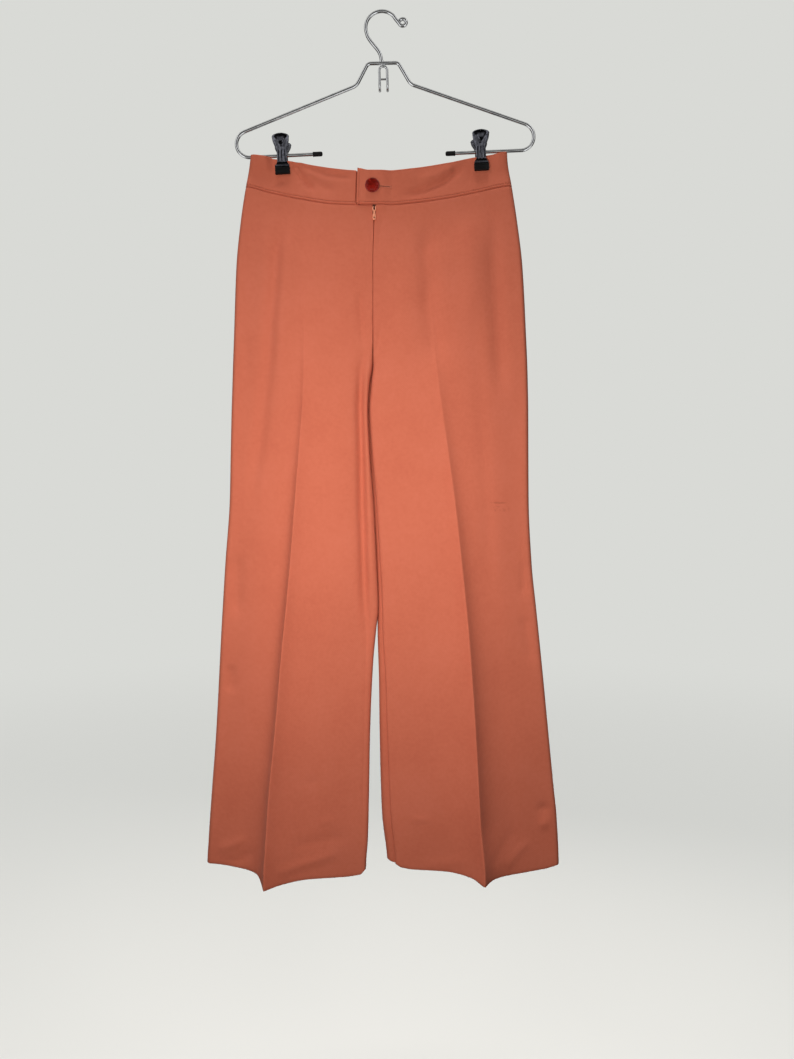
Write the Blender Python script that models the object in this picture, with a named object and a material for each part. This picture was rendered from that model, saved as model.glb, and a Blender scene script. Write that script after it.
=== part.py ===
"""Wide-leg trousers hanging by two clips from a bent-wire hanger.

Sizes are millimetres and turn into metres when a mesh is made. The origin is the point on the inside
of the hook's top that bears on whatever holds the hanger. X runs to the viewer's right, Y away from
the viewer and Z up. Left and right in the names are the wearer's, so the wearer's right leg is on
the viewer's left, at -X.

A point of the garment is worked out from its reach (sideways distance from the centre line), its
depth (distance in front of or behind the hanger's plane) and its height.
"""

import bisect
import math
from typing import NamedTuple

import bmesh
import bpy
from mathutils import Matrix, Vector

MM = 0.001
SEAM_GAP = 0.3
HALF_SEAM = SEAM_GAP / 2

# Cloth: one layer of the legs, the turned-up hem, and the doubled and stiffened waistband.
CLOTH = 1.8
HEM_CLOTH = 3.0
HEM_TURN_UP = 58.0
BAND_CLOTH = 2.4
BAND_HEIGHT = 48.0

# Heights below the hook. The centre line is where the front and back seams hang.
CENTRE_X = -10.0
WAIST_Z = -202.0
LEG_TOP_Z = -262.0
HEM_Z = -1212.0
CROTCH_Z = -503.0
FRONT_CURVE_Z = -462.0
BACK_CURVE_Z = -446.0

# Rolled edges of the flattened garment.
SIDE_ROLL = 7.0
INSEAM_ROLL = 8.0

# Trouser clips, where the waistband is pinched flat.
CLIP_REACH = {-1: 131.0, 1: 150.4}
GRIP_DEPTH = 3.0
END_DEPTH = 4.2

# Beyond the clips the waistband's ends lie in front of the bars.
END_REACH = {-1: 142.5, 1: 165.0}
END_RUN = 12.0
END_FORWARD = {-1: 7.3, 1: 3.2}
END_FADE = 34.0
PAD_HALF_WIDTH = 10.4
PINCH_HALF_WIDTH = 16.0

# The front opening: the wearer's left waistband laps over the right one.
TAB_REACH = 25.0
TAB_STEP = BAND_CLOTH + SEAM_GAP
LAP_REACH = 10.0
LAP_EASE = 16.0
LAP_FADE = 12.0
UNDERLAP_REACH = 9.0
SLOT_HALF = 1.9
SLOT_LENGTH = 24.0


class Outline(NamedTuple):
    """How far the edges and the pressed crease lie from the centre line, at one drop below the waist."""

    drop: float
    side: float
    crease: float
    inseam: float
    overhang: float


class Depth(NamedTuple):
    """How far the cloth stands off the hanger's plane, from the side seam across to the inseam."""

    drop: float
    side: float
    outer: float
    crease: float
    inner: float
    inseam: float
    nose: float


class Fold(NamedTuple):
    """A soft ridge (height above 0) or trough (below 0) from one place on a panel to another."""

    leg: int
    front: bool
    drop_a: float
    reach_a: float
    drop_b: float
    reach_b: float
    width: float
    height: float


# Overhang is how far the back panel bulges past the inseam, towards the other leg.
OUTLINES = {
    -1: (
        Outline(0, 174.5, 106.0, 0.0, 0.0),
        Outline(43, 182.2, 103.0, 0.0, 0.0),
        Outline(94, 189.8, 101.0, 0.4, 0.0),
        Outline(160, 196.0, 99.0, 1.8, 0.0),
        Outline(261, 199.4, 98.0, 1.6, 0.0),
        Outline(301, 200.8, 97.6, 2.0, 0.0),
        Outline(328, 201.6, 97.6, 6.2, 0.0),
        Outline(362, 202.7, 99.0, 8.4, 0.0),
        Outline(421, 204.0, 103.3, 6.0, 0.0),
        Outline(490, 205.4, 108.4, 0.8, 0.0),
        Outline(581, 211.8, 115.2, -3.8, 0.0),
        Outline(643, 215.5, 120.6, -6.0, 0.0),
        Outline(672, 217.2, 123.4, -3.0, 0.0),
        Outline(718, 219.5, 127.6, 1.4, 0.0),
        Outline(780, 222.6, 132.3, 4.6, 0.0),
        Outline(838, 226.0, 137.3, 6.4, 0.0),
        Outline(888, 229.8, 142.0, 7.2, 0.0),
        Outline(970, 235.4, 146.8, 9.0, 0.0),
        Outline(1010, 237.4, 148.6, 11.6, 0.0),
    ),
    1: (
        Outline(0, 188.0, 78.0, 0.0, 0.0),
        Outline(47, 195.2, 76.0, 0.0, 0.0),
        Outline(94, 202.3, 74.8, -0.4, 0.0),
        Outline(160, 210.0, 76.2, -1.8, 0.0),
        Outline(261, 215.2, 83.0, -1.6, 0.0),
        Outline(301, 216.9, 86.5, -2.0, 0.0),
        Outline(328, 217.6, 89.5, -4.8, 0.0),
        Outline(362, 218.2, 94.0, -7.0, 0.0),
        Outline(421, 218.4, 102.0, -4.0, 0.6),
        Outline(490, 218.8, 111.2, 2.0, 1.8),
        Outline(581, 223.1, 121.0, 7.6, 4.0),
        Outline(643, 229.4, 127.2, 10.8, 6.0),
        Outline(672, 232.4, 129.8, 11.4, 6.6),
        Outline(747, 239.9, 135.2, 15.4, 8.6),
        Outline(815, 246.4, 139.4, 17.6, 10.0),
        Outline(895, 254.1, 143.4, 20.8, 11.4),
        Outline(938, 258.4, 145.6, 23.2, 12.0),
        Outline(1010, 261.6, 151.2, 29.4, 10.8),
    ),
}

FRONT_DEPTHS = (
    Depth(60, 8.0, 13.0, 16.0, 17.0, 17.0, 0.0),
    Depth(110, 9.5, 15.0, 18.0, 18.5, 18.5, 0.6),
    Depth(178, 11.0, 17.5, 21.0, 21.0, 20.0, 1.8),
    Depth(261, 12.0, 19.0, 23.0, 23.0, 21.0, 3.6),
    Depth(362, 11.0, 18.0, 22.5, 22.0, 19.0, 7.0),
    Depth(490, 10.0, 17.0, 21.5, 21.0, 16.0, 11.5),
    Depth(643, 9.0, 15.0, 21.5, 20.0, 14.0, 17.0),
    Depth(800, 8.5, 14.0, 22.5, 19.5, 12.5, 22.0),
    Depth(940, 8.0, 14.0, 24.5, 19.5, 12.0, 26.0),
    Depth(1010, 8.0, 14.0, 26.0, 19.5, 12.0, 29.0),
)
BACK_DEPTHS = (
    Depth(60, 8.0, 12.0, 14.5, 15.5, 15.5, 0.0),
    Depth(110, 9.5, 14.0, 17.0, 18.0, 18.0, 0.0),
    Depth(178, 11.0, 17.0, 20.5, 21.5, 21.0, 0.6),
    Depth(261, 12.0, 18.5, 22.0, 22.5, 21.0, 1.6),
    Depth(362, 11.0, 17.5, 20.5, 20.5, 18.0, 3.0),
    Depth(490, 10.0, 16.5, 19.0, 19.0, 15.5, 4.6),
    Depth(643, 9.0, 15.0, 18.0, 17.5, 13.5, 6.0),
    Depth(800, 8.5, 14.0, 17.0, 16.5, 12.0, 7.6),
    Depth(1010, 8.0, 13.0, 16.0, 15.5, 11.5, 9.6),
)
DEPTHS = {True: FRONT_DEPTHS, False: BACK_DEPTHS}

# The largest soft folds, from the clips down over the hips and into the thighs.
FOLDS = (
    Fold(-1, True, 70.0, 129.0, 190.0, 151.0, 15.0, -4.5),
    Fold(-1, True, 170.0, 149.0, 330.0, 164.0, 17.0, -3.0),
    Fold(-1, True, 72.0, 108.0, 230.0, 99.0, 14.0, 2.6),
    Fold(-1, True, 250.0, 26.0, 600.0, 20.0, 9.0, -3.2),
    Fold(1, True, 80.0, 78.0, 150.0, 70.0, 14.0, -4.2),
    Fold(1, True, 140.0, 70.0, 250.0, 82.0, 15.0, -3.0),
    Fold(1, True, 84.0, 132.0, 240.0, 128.0, 18.0, 2.4),
    Fold(1, True, 260.0, 40.0, 520.0, 46.0, 14.0, -1.8),
    Fold(-1, False, 80.0, 120.0, 300.0, 108.0, 18.0, -3.4),
    Fold(-1, False, 120.0, 60.0, 330.0, 44.0, 18.0, 2.6),
    Fold(1, False, 90.0, 138.0, 320.0, 120.0, 19.0, -3.6),
    Fold(1, False, 130.0, 66.0, 360.0, 52.0, 18.0, 2.4),
)


class BandEdge(NamedTuple):
    """Heights of the front waistband's two edges at one reach to the viewer's right."""

    reach: float
    top: float
    foot: float


# The waistband sags between the clips.
BAND_EDGES = (
    BandEdge(-186.0, -205.4, -248.6),
    BandEdge(-147.0, -208.3, -257.8),
    BandEdge(-108.0, -213.4, -266.0),
    BandEdge(-57.0, -225.0, -275.6),
    BandEdge(-15.0, -230.6, -278.2),
    BandEdge(12.0, -231.0, -278.6),
    BandEdge(57.0, -225.8, -274.6),
    BandEdge(104.0, -215.7, -266.2),
    BandEdge(141.0, -206.6, -257.8),
    BandEdge(195.0, -200.4, -247.8),
)
BACK_BAND_RISE = 10.0
TAB_CORNER_RISE = 2.6

# The front hem from the inseam out to the side seam: reach, then height. It dips at the crease.
HEMS = {
    -1: (
        (11.6, -1213.5),
        (20.0, -1219.5),
        (44.0, -1222.2),
        (94.0, -1221.0),
        (127.0, -1222.4),
        (148.6, -1223.8),
        (163.0, -1212.4),
        (185.0, -1209.8),
        (237.4, -1205.5),
    ),
    1: (
        (29.4, -1205.5),
        (38.0, -1209.4),
        (56.0, -1211.6),
        (105.0, -1210.0),
        (135.0, -1212.4),
        (151.2, -1218.6),
        (167.0, -1217.0),
        (190.0, -1217.2),
        (240.0, -1213.0),
        (261.6, -1208.0),
    ),
}
HEM_BACK_LIFT = 2.0

# The hanger and its clips.
WIRE = 4.8
TILT = math.radians(1.6)
HOOK_RADIUS = 20.8 + WIRE / 2
NECK_Z = -71.5
BAR_Z = -200.6
BAR_INNER_Z = {-1: -198.2, 1: -202.4}
FRAME_HALF_WIDTH = 211.2
BAR_END = {-1: 102.6, 1: 98.4}
CASCADE_WIRE = 3.4
CASCADE_PRONG = 5.5
CASCADE_BEND = 6.0
CASCADE_SHANK = 26.0
CASCADE_TIP = 4.0
RUNG_WIRE = 2.6
TIP_LENGTH = 13.0
TIP_RADIUS = 3.2
LEAF = 1.2
LEAF_DEPTH = 5.9
SPRING_WIDTH = 11.0
PAD_HEIGHT = 10.0
PAD_DEPTH = 5.0

# The button and the zip.
BUTTON_RADIUS = 10.2
BUTTON_HEIGHT = 3.6
BUTTON_X = -12.6
BUTTON_Z = -253.6
ZIP_TOP_Z = -280.0
ZIP_LENGTH = 168.0
TAPE_HALF_WIDTH = 13.0
TAPE = 0.9
TAPE_SLIT = 2.6
SLIDER_HALF_WIDTH = 4.0
SLIDER_RISE = 3.0
SLIDER_DROP = 5.0
SLIDER_THICKNESS = 2.6
SLIDER_GAP = 0.5
PULL_PIVOT_Z = -283.4
PULL_STAND = 3.1
PULL_THICKNESS = 1.1
PULL_BAR = 0.55
PULL_WINDOW = 4.2
PULL_EYE_RADIUS = 1.0
PULL_EYE_DROP = 14.9
CROWN_WIDTH = 1.5
CROWN_REACH = 1.9
CROWN_RISE = 2.4
CROWN_DROP = 2.6
CROWN_HOLE = (0.95, 1.3)
CROWN_CLEARANCE = 0.35


def clamp(value, low=0.0, high=1.0):
    """The value, kept between two limits."""
    return max(low, min(high, value))


def ease(value):
    """A smooth step from 0 to 1 as the value goes from 0 to 1."""
    part = clamp(value)
    return part * part * (3 - 2 * part)


def curve(knots, at):
    """Height at one place of a smooth curve through (place, height) knots, level beyond its ends."""
    places = [knot[0] for knot in knots]
    heights = [knot[1] for knot in knots]
    if at <= places[0]:
        return heights[0]
    if at >= places[-1]:
        return heights[-1]
    slopes = [0.0] * len(knots)
    for i in range(1, len(knots) - 1):
        before = (heights[i] - heights[i - 1]) / (places[i] - places[i - 1])
        after = (heights[i + 1] - heights[i]) / (places[i + 1] - places[i])
        if before * after > 0:
            slopes[i] = 2 * before * after / (before + after)
    i = bisect.bisect_right(places, at) - 1
    span = places[i + 1] - places[i]
    t = (at - places[i]) / span
    rise = (2 * t**3 - 3 * t**2 + 1) * heights[i] + (3 * t**2 - 2 * t**3) * heights[i + 1]
    lean = (t**3 - 2 * t**2 + t) * slopes[i] + (t**3 - t**2) * slopes[i + 1]
    return rise + span * lean


def row_at(rows, drop):
    """The table's row at one drop below the waist, each column smoothed on its own."""
    columns = zip(*rows)
    drops = next(columns)
    values = [curve(list(zip(drops, column)), drop) for column in columns]
    return type(rows[0])(drop, *values)


def band_top(x, front):
    """Height of the waistband's top edge at one place across the garment."""
    height = curve([(edge.reach, edge.top) for edge in BAND_EDGES], x - CENTRE_X)
    if front:
        return height
    between = clamp((x - CENTRE_X + CLIP_REACH[-1]) / (CLIP_REACH[-1] + CLIP_REACH[1]))
    return height + BACK_BAND_RISE * math.sin(math.pi * between) ** 1.3


def band_height(x, low, front):
    """Height of one place of the waistband; low is 0 at its top edge and 1 at its foot."""
    top = curve([(edge.reach, edge.top) for edge in BAND_EDGES], x - CENTRE_X)
    foot = curve([(edge.reach, edge.foot) for edge in BAND_EDGES], x - CENTRE_X)
    return foot + band_top(x, front) - top + (top - foot) * (1 - low)


def leg_top(x, front):
    """Height of the legs' top edge, just under the waistband."""
    return band_height(x, 1.0, front) - SEAM_GAP


def waist_depth(x, low, front):
    """Depth of the waistband; low is 0 at its top edge, where the clips pinch it, and 1 at its foot."""
    reach = x - CENTRE_X
    left = -CLIP_REACH[-1] + PINCH_HALF_WIDTH
    right = CLIP_REACH[1] - PINCH_HALF_WIDTH
    if reach < left:
        beyond = ease((left - reach - 2 * PINCH_HALF_WIDTH) / 20)
        bow = 0.0
    elif reach > right:
        beyond = ease((reach - right - 2 * PINCH_HALF_WIDTH) / 20)
        bow = 0.0
    else:
        beyond = 0.0
        bow = math.sin(math.pi * (reach - left) / (right - left)) ** 1.35
    pinched = GRIP_DEPTH + (END_DEPTH - GRIP_DEPTH) * beyond + (13.0 if front else 11.5) * bow
    relaxed = 8.0 + (9.0 if front else 7.5) * bow
    return pinched + (relaxed - pinched) * ease((low - 0.45) / 0.75)


def lap(x, z):
    """How far the wearer's left front steps forward to lap over the right, near the opening."""
    across = 1 - ease((x - CENTRE_X - LAP_REACH) / LAP_EASE)
    down = 1 - ease((leg_top(x, True) - z) / LAP_FADE)
    return TAB_STEP * across * down


def end_forward(x, z):
    """How far forward both layers lie beside the clips, where the waistband's ends pass before the bars."""
    leg = -1 if x < CENTRE_X else 1
    out = ease((leg * (x - CENTRE_X) - END_REACH[leg]) / END_RUN)
    down = ease((z - band_top(x, True) + END_FADE) / END_FADE)
    return END_FORWARD[leg] * out * down


def world(leg, front, reach, depth, z):
    """World point of a place on the garment."""
    x = CENTRE_X + leg * reach
    return (x, (-depth if front else depth) - end_forward(x, z), z)


def fold_height(leg, front, drop, reach):
    """Sum of the soft folds at one place on a panel."""
    total = 0.0
    for fold in FOLDS:
        if fold.leg != leg or fold.front != front:
            continue
        along_drop = fold.drop_b - fold.drop_a
        along_reach = fold.reach_b - fold.reach_a
        length = math.hypot(along_drop, along_reach)
        off_drop = drop - fold.drop_a
        off_reach = reach - fold.reach_a
        along = (off_drop * along_drop + off_reach * along_reach) / length
        across = (off_drop * along_reach - off_reach * along_drop) / length
        fade = ease(along / length / 0.3 + 0.35) * ease((1 - along / length) / 0.3 + 0.35)
        total += fold.height * fade * math.exp(-((across / fold.width) ** 2))
    return total


def nose(offset, outer):
    """Shape of a pressed crease across the cloth: 1 on the crease, dying away faster on its outer side."""
    tip = 1.6
    spread = 15.0 if outer else 27.0
    return math.exp((tip - math.hypot(offset, tip)) / spread)


def leg_face_depth(leg, front, reach, z):
    """Depth of a leg panel's face, between its rolled edges."""
    drop = WAIST_Z - z
    outline = row_at(OUTLINES[leg], drop)
    depth = row_at(DEPTHS[front], drop)
    side = outline.side - SIDE_ROLL
    inseam = outline.inseam + INSEAM_ROLL
    knots = (
        (inseam, depth.inseam),
        ((inseam + outline.crease) / 2, depth.inner),
        (outline.crease, depth.crease),
        ((side + outline.crease) / 2, depth.outer),
        (side, depth.side),
    )
    offset = reach - outline.crease
    value = curve(knots, reach) + depth.nose * nose(offset, offset > 0)
    value += fold_height(leg, front, drop, reach) * ease((side - reach) / 25)
    x = CENTRE_X + leg * reach
    under = ease((leg_top(x, front) - z) / 95)
    value = waist_depth(x, 1.0, front) * (1 - under) + value * under
    if front and leg > 0:
        value += lap(x, z)
    return value


def wall(name, outer, inner, material, missing=()):
    """One closed body between two grids of points, with walls round its edges and round missing cells."""
    shape = bmesh.new()
    rows = len(outer)
    columns = len(outer[0])
    front = [[shape.verts.new(Vector(p) * MM) for p in row] for row in outer]
    back = [[shape.verts.new(Vector(p) * MM) for p in row] for row in inner]
    present = {(i, j) for i in range(rows - 1) for j in range(columns - 1)} - set(missing)
    for i, j in sorted(present):
        corners = ((i, j), (i + 1, j), (i + 1, j + 1), (i, j + 1))
        shape.faces.new([front[a][b] for a, b in corners])
        shape.faces.new([back[a][b] for a, b in reversed(corners)])
        sides = (((i, j - 1), 0, 1), ((i + 1, j), 1, 2), ((i, j + 1), 2, 3), ((i - 1, j), 3, 0))
        for neighbour, start, end in sides:
            if neighbour in present:
                continue
            a = corners[start]
            b = corners[end]
            ring = (front[b[0]][b[1]], front[a[0]][a[1]], back[a[0]][a[1]], back[b[0]][b[1]])
            shape.faces.new(ring)
    loose = [vert for vert in shape.verts if not vert.link_faces]
    bmesh.ops.delete(shape, geom=loose, context="VERTS")
    return finish(name, shape, material, angle=50)


def finish(name, shape, material, angle=35):
    """Turns a bmesh into a named object with its material, faces out and smooth except at sharp edges."""
    bmesh.ops.recalc_face_normals(shape, faces=shape.faces)
    mesh = bpy.data.meshes.new(name)
    shape.to_mesh(mesh)
    shape.free()
    mesh.shade_smooth()
    mesh.set_sharp_from_angle(angle=math.radians(angle))
    mesh.materials.append(material)
    piece = bpy.data.objects.new(name, mesh)
    bpy.context.scene.collection.objects.link(piece)
    return piece


def principled(name, colour, roughness, metallic=0.0):
    """A plain Principled material."""
    material = bpy.data.materials.new(name)
    material.use_nodes = True
    shader = material.node_tree.nodes["Principled BSDF"]
    shader.inputs["Base Color"].default_value = (*colour, 1.0)
    shader.inputs["Roughness"].default_value = roughness
    shader.inputs["Metallic"].default_value = metallic
    material.diffuse_color = (*colour, 1.0)
    return material


# The legs

LEVELS = (
    *(LEG_TOP_Z - down for down in (0, 12, 26, 48, 84, 124, 160)),
    *(FRONT_CURVE_Z - down for down in (-16, 0, 16, 28, 36)),
    *(CROTCH_Z - down for down in (0, 12, 28, 62, 120, 196, 270, 340, 372, 430, 500, 570)),
    HEM_Z + HEM_TURN_UP + 1.2,
    HEM_Z + HEM_TURN_UP,
    HEM_Z,
)
ROLL_ANGLES = (0.0, 30.0, 60.0)

# Shares of the way from the rolled edge to the crease; two of each leg's fall beside its clip.
OUTER_SHARES = {-1: (0.0, 0.27, 0.53, 0.78), 1: (0.0, 0.19, 0.465, 0.73)}
INNER_SHARES = (0.84, 0.62, 0.4, 0.2, 0.0)
CREASE_OFFSETS = (14.0, 5.0, 1.6, 0.0, -1.6, -5.0, -14.0)


def seam_depth(leg, front, z, outline):
    """Depth of a panel's inner edge: on the face above the crotch curve, near 0 at the inseam."""
    start = FRONT_CURVE_Z if front else BACK_CURVE_Z
    part = clamp((start - z) / (start - CROTCH_Z))
    face = leg_face_depth(leg, front, outline.inseam + INSEAM_ROLL, z)
    return max(HALF_SEAM, face * math.sqrt(1 - part * part))


def face_reach(leg, outline, inner, column):
    """Reach of one face column: shares of the way to the crease, places beside it, then shares onwards."""
    first = outline.crease + CREASE_OFFSETS[0]
    last = outline.crease + CREASE_OFFSETS[-1]
    side = outline.side - SIDE_ROLL
    stop = inner + INSEAM_ROLL
    shares = OUTER_SHARES[leg]
    if column < len(shares):
        return side + (first - side) * shares[column]
    column -= len(shares)
    if column < len(CREASE_OFFSETS):
        return outline.crease + CREASE_OFFSETS[column]
    column -= len(CREASE_OFFSETS)
    return stop + (last - stop) * INNER_SHARES[column]


ROLLS = len(ROLL_ANGLES)
FACES = len(OUTER_SHARES[1]) + len(CREASE_OFFSETS) + len(INNER_SHARES)
COLUMNS = 2 * ROLLS + FACES


def section_place(leg, front, z, column):
    """One place across a panel at one height, as (reach, depth, roll); column 0 is the side seam."""
    outline = row_at(OUTLINES[leg], WAIST_Z - z)
    inner = outline.inseam + HALF_SEAM
    if front:
        inner += SLOT_HALF * (1 - ease((leg_top(CENTRE_X, True) - z - 6) / SLOT_LENGTH))
    if column < ROLLS:
        turn = math.radians(ROLL_ANGLES[column])
        face = leg_face_depth(leg, front, outline.side - SIDE_ROLL, z)
        depth = HALF_SEAM + (face - HALF_SEAM) * math.sin(turn)
        return (outline.side - SIDE_ROLL * (1 - math.cos(turn)), depth, ROLL_ANGLES[column])
    if column < ROLLS + FACES:
        reach = face_reach(leg, outline, inner, column - ROLLS)
        return (reach, leg_face_depth(leg, front, reach, z), 90.0)
    angle = ROLL_ANGLES[COLUMNS - 1 - column]
    turn = math.radians(angle)
    edge = seam_depth(leg, front, z, outline)
    face = leg_face_depth(leg, front, inner + INSEAM_ROLL, z)
    bulge = 0.0 if front else outline.overhang * math.sin(2 * turn) ** 0.8
    reach = inner + INSEAM_ROLL * (1 - math.cos(turn)) - bulge
    return (reach, edge + (face - edge) * math.sin(turn), angle)


def outward(places, index, under):
    """Direction square to the cloth at one place of a section, as (reach, depth)."""
    if index == 0:
        return (1.0, 0.0)
    if index == len(places) - 1:
        length = math.hypot(under, 1 - under)
        return (-under / length, (1 - under) / length)
    before = places[index - 1]
    after = places[index + 1]
    along_reach = after[0] - before[0]
    along_depth = after[1] - before[1]
    length = math.hypot(along_reach, along_depth)
    return (along_depth / length, -along_reach / length)


def inner_places(places, thick, under):
    """The section's inner face: the outer one moved in by the cloth's thickness."""
    normals = [outward(places, index, under) for index in range(len(places))]
    stretch = [1 / max(0.42, abs(normal[1])) for normal in normals]
    moved = []
    for index, (reach, depth, angle) in enumerate(places):
        normal = normals[index]
        if angle < 90.0:
            moved.append((reach - thick * normal[0], depth - thick * normal[1]))
            continue
        near = max(stretch[index], (stretch[index - 1] + stretch[index + 1]) / 2)
        moved.append((reach, depth - thick * near))
    return moved


def level_height(leg, front, reach, level):
    """Height of one place on a row: rows follow the sagging waist at the top and the hem at the foot."""
    x = CENTRE_X + leg * reach
    top = leg_top(x, front) - LEG_TOP_Z
    hem = HEMS[leg]
    if front:
        foot = curve(hem, reach) - HEM_Z
    else:
        share = clamp((reach - hem[0][0]) / (hem[-1][0] - hem[0][0]))
        foot = hem[0][1] + (hem[-1][1] - hem[0][1]) * share + HEM_BACK_LIFT * math.sin(math.pi * share) - HEM_Z
    under = 1 - ease((LEG_TOP_Z - level) / 140)
    over = ease((level - HEM_Z) / -230 + 1)
    return level + top * under + foot * over


def panel_row(leg, front, level):
    """Places and heights of one row of a panel: each place lies on the section at its own height."""
    heights = [level] * COLUMNS
    for _ in range(4):
        places = [section_place(leg, front, z, column) for column, z in enumerate(heights)]
        heights = [level_height(leg, front, place[0], level) for place in places]
    return places, heights


def panel_grids(leg, front):
    """The outer and inner grids of one leg panel, a row for each level, as world points."""
    outer = []
    inner = []
    curve_start = FRONT_CURVE_Z if front else BACK_CURVE_Z
    for level in LEVELS:
        places, heights = panel_row(leg, front, level)
        turned_up = level <= HEM_Z + HEM_TURN_UP
        under = ease((curve_start - level) / (curve_start - CROTCH_Z))
        moved = inner_places(places, HEM_CLOTH if turned_up else CLOTH, under)
        points = zip(places, moved, heights)
        outer_row = []
        inner_row = []
        for place, within, z in points:
            outer_row.append(world(leg, front, place[0], place[1], z))
            inner_row.append(world(leg, front, within[0], within[1], z))
        outer.append(outer_row)
        inner.append(inner_row)
    return outer, inner


def build_legs(cloth):
    """Front and back panels of both legs."""
    for leg, side in ((-1, "right"), (1, "left")):
        for front, face in ((True, "front"), (False, "back")):
            outer, inner = panel_grids(leg, front)
            wall(f"{face}_{side}", outer, inner, cloth)


# The waistband

BAND_ROWS = (0.0, 0.05, 0.3, 0.5, 0.7, 0.94, 1.0)
TAB_SHARES = (0.3, 0.6, 0.86, 1.0)


def band_places(leg, front, low, foot):
    """Reach, depth, height and roll of the waistband's outer face, above each place of the leg's top row."""
    start = row_at(OUTLINES[leg], WAIST_Z - foot[0][3]).side
    places = []
    for reach, depth, angle, z in foot:
        side = start
        moved = reach
        for _ in range(3):
            height = band_height(CENTRE_X + leg * moved, low, front)
            side = row_at(OUTLINES[leg], WAIST_Z - height).side
            if angle < 90.0:
                moved = side - (start - reach)
            else:
                moved = reach * (side - SIDE_ROLL) / (start - SIDE_ROLL)
        x = CENTRE_X + leg * moved
        if angle < 90.0:
            face = waist_depth(CENTRE_X + leg * (side - SIDE_ROLL), low, front)
            depth = HALF_SEAM + (face - HALF_SEAM) * math.sin(math.radians(angle))
        else:
            depth = waist_depth(x, low, front)
        if front and leg > 0:
            depth += lap(x, leg_top(x, True))
        places.append((moved, depth, angle, height))
    return places


def leg_foot(leg, front):
    """The top row of a leg panel up to the centre, which the waistband's foot repeats."""
    places, heights = panel_row(leg, front, LEG_TOP_Z)
    row = [(*place, z) for place, z in zip(places, heights)]
    return row[:COLUMNS - ROLLS]


def band_row(leg, front, low, foot):
    """World points of one row of a waistband piece: its outer face and its inner face."""
    outer = []
    inner = []
    for reach, depth, angle, z in band_places(leg, front, low, foot):
        turn = math.radians(angle)
        outer.append(world(leg, front, reach, depth, z))
        within = reach - BAND_CLOTH * math.cos(turn)
        inner.append(world(leg, front, within, depth - BAND_CLOTH * math.sin(turn), z))
    return outer, inner


def tab_end(low):
    """Reach of the tab's free end past the centre, with a small round at its lower corner."""
    corner = 5.0 / BAND_HEIGHT
    into = clamp((low - 1 + corner) / corner)
    return TAB_REACH - 5.0 * (1 - math.sqrt(1 - into * into))


def lap_end(leg, low, last):
    """World points that carry a front piece past the centre: the tab on the left, the underlap behind it."""
    outer = []
    inner = []
    start = last[0]
    for share in TAB_SHARES:
        stop = CENTRE_X + (UNDERLAP_REACH if leg < 0 else -tab_end(low))
        x = start + (stop - start) * share
        step = TAB_STEP if leg > 0 else 0.0
        rise = TAB_CORNER_RISE * ease((CENTRE_X - x - 8) / 15) * (1 - low) if leg > 0 else 0.0
        z = band_height(x, low, True) + rise
        depth = waist_depth(x, low, True) + step
        outer.append((x, -depth, z))
        inner.append((x, BAND_CLOTH - depth, z))
    return outer, inner


def build_waistband(cloth):
    """The back piece and the two front pieces, the left one lapping over the right."""
    for leg, name in ((-1, "waistband_front_right"), (1, "waistband_front_left")):
        foot = leg_foot(leg, True)
        outer = []
        inner = []
        for low in BAND_ROWS:
            outer_row, inner_row = band_row(leg, True, low, foot)
            outer_end, inner_end = lap_end(leg, low, outer_row[-1])
            outer.append(outer_row + outer_end)
            inner.append(inner_row + inner_end)
        wall(name, outer, inner, cloth)
    feet = {leg: leg_foot(leg, False) for leg in (-1, 1)}
    outer = []
    inner = []
    for low in BAND_ROWS:
        right_outer, right_inner = band_row(-1, False, low, feet[-1])
        left_outer, left_inner = band_row(1, False, low, feet[1])
        outer.append(right_outer + left_outer[::-1])
        inner.append(right_inner + left_inner[::-1])
    wall("waistband_back", outer, inner, cloth)


# The zip and the button

def front_face(z):
    """Depth of the front's outer face beside the centre seam."""
    return leg_face_depth(-1, True, INSEAM_ROLL, z)


def box(name, low, high, material, bevel=0.0):
    """A box between two corners, with its edges softened."""
    shape = bmesh.new()
    bmesh.ops.create_cube(shape, size=1.0)
    size = Vector(high) - Vector(low)
    bmesh.ops.scale(shape, verts=shape.verts, vec=size * MM)
    bmesh.ops.translate(shape, verts=shape.verts, vec=(Vector(low) + Vector(high)) / 2 * MM)
    if bevel:
        bmesh.ops.bevel(shape, geom=shape.edges[:], offset=bevel * MM, offset_type="OFFSET",
                        segments=1, profile=0.5, affect="EDGES", clamp_overlap=True, material=-1)
    return finish(name, shape, material)


def join_shapes(target, other, operation):
    """Adds a Boolean modifier that joins another shape to the target, or cuts it away."""
    other.hide_render = True
    other.display_type = "WIRE"
    modifier = target.modifiers.new(other.name, "BOOLEAN")
    modifier.operation = operation
    modifier.solver = "EXACT"
    modifier.object = other


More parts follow.
